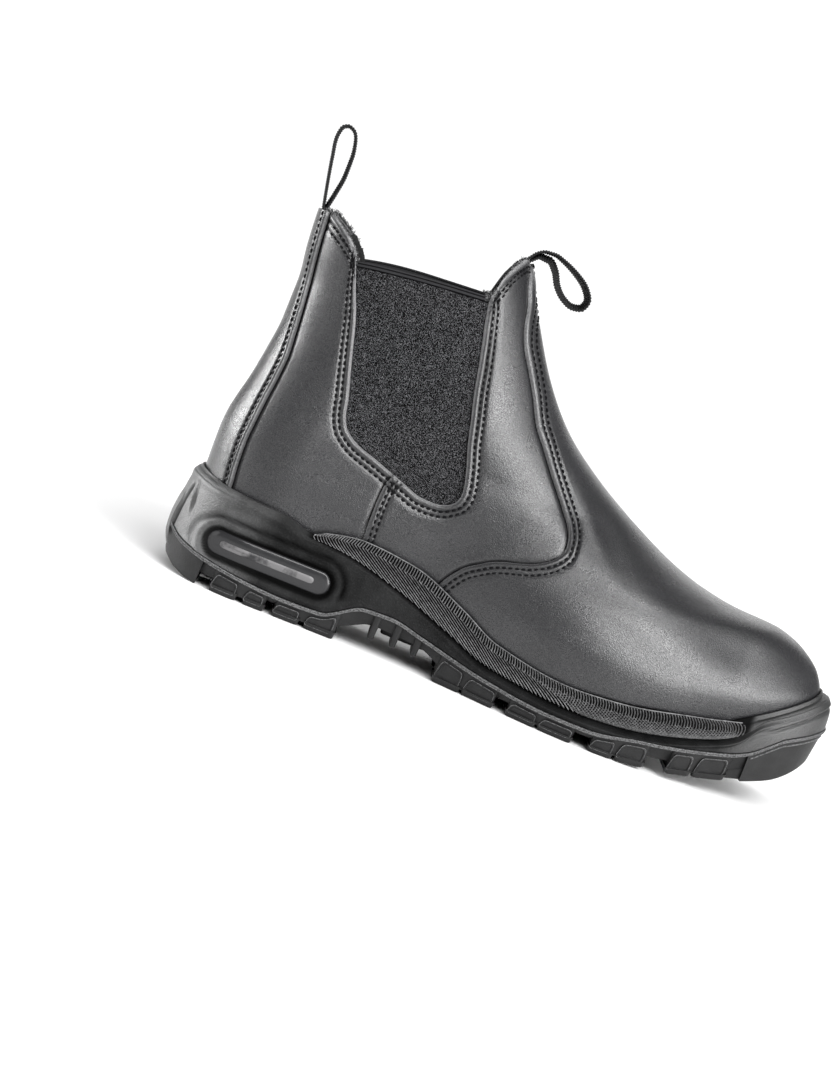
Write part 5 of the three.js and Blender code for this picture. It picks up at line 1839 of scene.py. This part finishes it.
class BOOT_OT_outsole(bpy.types.Operator):
    """Rubber outsole: plate with its bead, lugs, slats, waist ribs, toe cap and heel tongue"""

    bl_idname = "boot.outsole"
    bl_label = "Outsole"

    def execute(self, context):
        lugs, flash, middle = Parts(), Parts(), Parts()
        for add in (forefoot_lugs, heel_lugs, heel_pad):
            add(lugs)
        lug_panels(lugs, PLATE_STEPS)
        toe_cap(lugs)
        # The pale rims round the lugs' panels: a painted highlight on their bevels
        lug_panels(flash, PANEL_RIM_HIGHLIGHT_STEPS)
        waist_and_channel(middle)
        outsole_plate().piece("outsole_plate", rubber_finish, "rubber", ("outsole",))
        parting_bead().piece("outsole_bead", flash_and_rim_highlight_finish, "rubber", smooth=60)
        flash.piece("outsole_flash", flash_and_rim_highlight_finish, "rubber", smooth=60)
        lugs.piece("outsole_lugs", rubber_finish, "rubber")
        toe_line().piece("outsole_toe_line", flash_and_rim_highlight_finish, "rubber", smooth=60)
        middle.piece("outsole_channel", rubber_finish, "rubber")
        shade_recess(heel_tongue().piece("outsole_tongue", foam_finish, "rubber"))
        return {"FINISHED"}


class BOOT_OT_midsole(bpy.types.Operator):
    """Foamed midsole with its heel block, toe bumper and the ribbed band under the leather"""

    bl_idname = "boot.midsole"
    bl_label = "Midsole"

    def execute(self, context):
        shade_recess(midsole_mesh().piece("midsole_body", foam_finish, "midsole", ("midsole",), smooth=50))
        for side in BOTH_SIDES:
            band_ribs(side).piece("band_ribs_" + side_tag(side), rib_finish, "midsole", smooth=60)
        return {"FINISHED"}


class BOOT_OT_heel_windows(bpy.types.Operator):
    """Clear heel windows, one on each side, each with a plain bar behind it"""

    bl_idname = "boot.heel_windows"
    bl_label = "Heel windows"

    def execute(self, context):
        bar = {"start": WINDOW["start"] + 8, "end": WINDOW["end"] - 9, "low": WINDOW["low"] + 5.4,
               "high": WINDOW["high"] - 5.4}
        for side in BOTH_SIDES:
            tag = side_tag(side)
            lens = domed_capsule(side, grown(WINDOW, -1.6), LENS_RINGS)
            lens.piece("window_" + tag, lens_finish, "lens", ("heel_window_" + tag,))
            domed_capsule(side, bar, BAR_RINGS).piece("window_bar_" + tag, window_bar_finish, "lens")
        return {"FINISHED"}


class BOOT_OT_inside(bpy.types.Operator):
    """Textile lining and foam insole"""

    bl_idname = "boot.inside"
    bl_label = "Lining and insole"

    def execute(self, context):
        lining_mesh().piece("lining", lining_finish, "elastic", smooth=60)
        collar_fuzz().piece("lining_fuzz", fuzz_finish, "elastic", smooth=60)
        insole_mesh().piece("insole_foam", insole_finish, "insole", ("insole",))
        return {"FINISHED"}


class BOOT_OT_gores(bpy.types.Operator):
    """Elastic side panels with a hem along the top"""

    bl_idname = "boot.gores"
    bl_label = "Elastic gores"

    def execute(self, context):
        for side in BOTH_SIDES:
            points, faces, uv, attributes = gore_mesh(side)
            new_piece("elastic_" + side_tag(side), points, faces, elastic_finish,
                      ("gore_" + side_tag(side),), attributes=attributes, uv=uv)
        return {"FINISHED"}


class BOOT_OT_quarters(bpy.types.Operator):
    """Leather quarters: a rear and a front panel on each side, cut out round the gore"""

    bl_idname = "boot.quarters"
    bl_label = "Quarters"

    def execute(self, context):
        for side in BOTH_SIDES:
            places = (("rear", (STRIP_EDGE, SIDE_SEAM)), ("front", (VAMP_EDGE,)))
            for (place, overlaid), (grid, offset, edges) in zip(places, quarters(side)):
                nodes = ("upper",) if (place, side) == ("rear", LATERAL) else ()
                made = sheet(side, grid, offset, edges, side > 0, overlaid)
                panel(f"quarter_{place}_{side_tag(side)}", made, nodes)
        return {"FINISHED"}


class BOOT_OT_vamp(bpy.types.Operator):
    """Leather vamp in one piece with its front strip, and the strip down the back"""

    bl_idname = "boot.vamp"
    bl_label = "Vamp and back strip"

    def execute(self, context):
        panel("vamp", joined_sides(vamp_grid(), VAMP_EDGE, STITCH_ROWS, False), pale=0.4)
        panel("back_strip", joined_sides(strip_grid(), None, STRIP_STITCH_ROWS, True), pale=0.12)
        return {"FINISHED"}


class BOOT_OT_stitching(bpy.types.Operator):
    """Double rows of stitches along every seam"""

    bl_idname = "boot.stitching"
    bl_label = "Stitching"

    def execute(self, context):
        form = thread_form()
        vamp, strip = vamp_grid(), strip_grid()
        for side in BOTH_SIDES:
            parts = Parts()
            for path, offset in stitch_rows(side, vamp[side], strip[side]):
                place_row(parts, form, side, path, offset)
            parts.piece("stitches_" + side_tag(side), thread_finish, "leather", smooth=60)
        return {"FINISHED"}


class BOOT_OT_pull_loops(bpy.types.Operator):
    """Ribbed webbing pull loops at the back and in front"""

    bl_idname = "boot.pull_loops"
    bl_label = "Pull loops"

    def execute(self, context):
        for place, path, twists in (("back", LOOP_BACK, BACK_TWISTS), ("front", LOOP_FRONT, FRONT_TWISTS)):
            loop = webbing_loop(path, twists)
            loop.piece("loop_" + place, webbing_finish, "webbing", ("pull_loop_" + place,), smooth=50)
        return {"FINISHED"}


# The photo's view

CAMERA_TARGET = (105.9, 0.0, 51.18)
CAMERA_AZIMUTH, CAMERA_ELEVATION, CAMERA_ROLL = math.radians(-2.2), math.radians(5.9), math.radians(22.28)
CAMERA_DISTANCE = 1.35
LENS_LENGTH, SENSOR = 101.49, 36.0


def direction(azimuth, elevation):
    """The way to a place round the boot. The azimuth is counted from its outer side towards the toe."""
    return Vector((math.sin(azimuth) * math.cos(elevation), -math.cos(azimuth) * math.cos(elevation),
                   math.sin(elevation)))


def photo_camera():
    back = direction(CAMERA_AZIMUTH, CAMERA_ELEVATION)
    level = (-back).cross(Vector((0, 0, 1))).normalized()
    upright = level.cross(-back)
    turn, lean = math.cos(CAMERA_ROLL), math.sin(CAMERA_ROLL)
    right, up = level * turn + upright * lean, upright * turn - level * lean
    data = bpy.data.cameras.new("camera")
    data.lens, data.sensor_width, data.sensor_fit = LENS_LENGTH, SENSOR, "AUTO"
    data.clip_start, data.clip_end = 0.1, 40
    camera = place_in_scene("camera", data)
    camera.matrix_world = Matrix((right, up, back)).transposed().to_4x4()
    camera.location = Vector(to_row([CAMERA_TARGET])[0]) + back * CAMERA_DISTANCE
    bpy.context.scene.camera = camera


def distant_light(name, azimuth, elevation, spread, strength):
    """A wide soft light far away."""
    data = bpy.data.lights.new(name, "SUN")
    data.energy, data.angle = strength, math.radians(spread)
    light = place_in_scene(name, data)
    way = direction(math.radians(azimuth), math.radians(elevation))
    light.location = way * 2
    light.rotation_euler = way.to_track_quat("Z", "Y").to_euler()


# Name, azimuth from the camera's side towards the toe, elevation, spread in degrees, and strength
STUDIO_LIGHTS = (
    ("left_low", -102, 8, 26, 3.9),
    ("left_front", -62, 8, 26, 0.3),
    ("front_high", 2, 33, 28, 1.7),
    ("right_front", 27, 33, 28, 2.1),
    ("right_low", 38, 9, 28, 2.3),
    ("right_side", 66, 8, 28, 1.7),
    ("right_high", 48, 48, 30, 0.45),
    ("over", 25, 70, 34, 0.75),
    ("toe_side", 97, 32, 26, 0.06),
    ("behind", 165, 25, 26, 0.2),
)


def white_surroundings():
    """Surroundings that the camera sees white. They light the boot from behind, and dimly all round."""
    world = bpy.data.worlds.new("white")
    world.use_nodes = True
    sky = Wiring(world.node_tree)
    facing = sky.node("ShaderNodeVectorMath", "Value", (0, sky.node("ShaderNodeTexCoord", "Generated")),
                      (1, (0, 0.98, -0.17)), operation="DOT_PRODUCT")
    level = sky.spread(facing, 0.8, 0.94, 0.22, 1.1, interpolation_type="SMOOTHSTEP")
    strength = sky.worked_out("MAXIMUM", level, sky.node("ShaderNodeLightPath", "Is Camera Ray"))
    sky.fill(sky.nodes["Background"], ("Color", (1, 1, 1, 1)), ("Strength", strength))
    return world


class BOOT_OT_stage(bpy.types.Operator):
    """White studio: floor, soft lights, white surroundings and the camera of the photo"""

    bl_idname = "boot.stage"
    bl_label = "Studio"

    def execute(self, context):
        bpy.ops.mesh.primitive_plane_add(size=2.6, location=(0, 0.1, 0))
        floor = bpy.context.active_object
        floor.name = "floor"
        floor.data.materials.append(made_once(floor_finish))
        for light in STUDIO_LIGHTS:
            distant_light(*light)
        bpy.context.scene.world = white_surroundings()
        bpy.context.scene.view_settings.view_transform = "Standard"
        photo_camera()
        return {"FINISHED"}


STEPS = (BOOT_OT_outsole, BOOT_OT_midsole, BOOT_OT_heel_windows, BOOT_OT_inside, BOOT_OT_gores,
         BOOT_OT_quarters, BOOT_OT_vamp, BOOT_OT_stitching, BOOT_OT_pull_loops, BOOT_OT_stage)


class BOOT_PT_panel(bpy.types.Panel):
    bl_idname = "BOOT_PT_panel"
    bl_label = "Side Gore Work Boot"
    bl_space_type = "VIEW_3D"
    bl_region_type = "UI"
    bl_category = "Boot"

    def draw(self, context):
        for group in (context.scene.boot_sizes, context.scene.boot_colours):
            box = self.layout.box()
            for key in group.__annotations__:
                box.prop(group, key)
        for step in STEPS:
            self.layout.operator(step.bl_idname)


CLASSES = (BootSizes, BootColours) + STEPS + (BOOT_PT_panel,)


def register():
    for each in CLASSES:
        bpy.utils.register_class(each)
    bpy.types.Scene.boot_sizes = bpy.props.PointerProperty(type=BootSizes)
    bpy.types.Scene.boot_colours = bpy.props.PointerProperty(type=BootColours)


def unregister():
    del bpy.types.Scene.boot_sizes
    del bpy.types.Scene.boot_colours
    for each in reversed(CLASSES):
        bpy.utils.unregister_class(each)


def main():
    register()
    for step in STEPS:
        group, name = step.bl_idname.split(".")
        getattr(getattr(bpy.ops, group), name)()


if __name__ == "__main__":
    main()
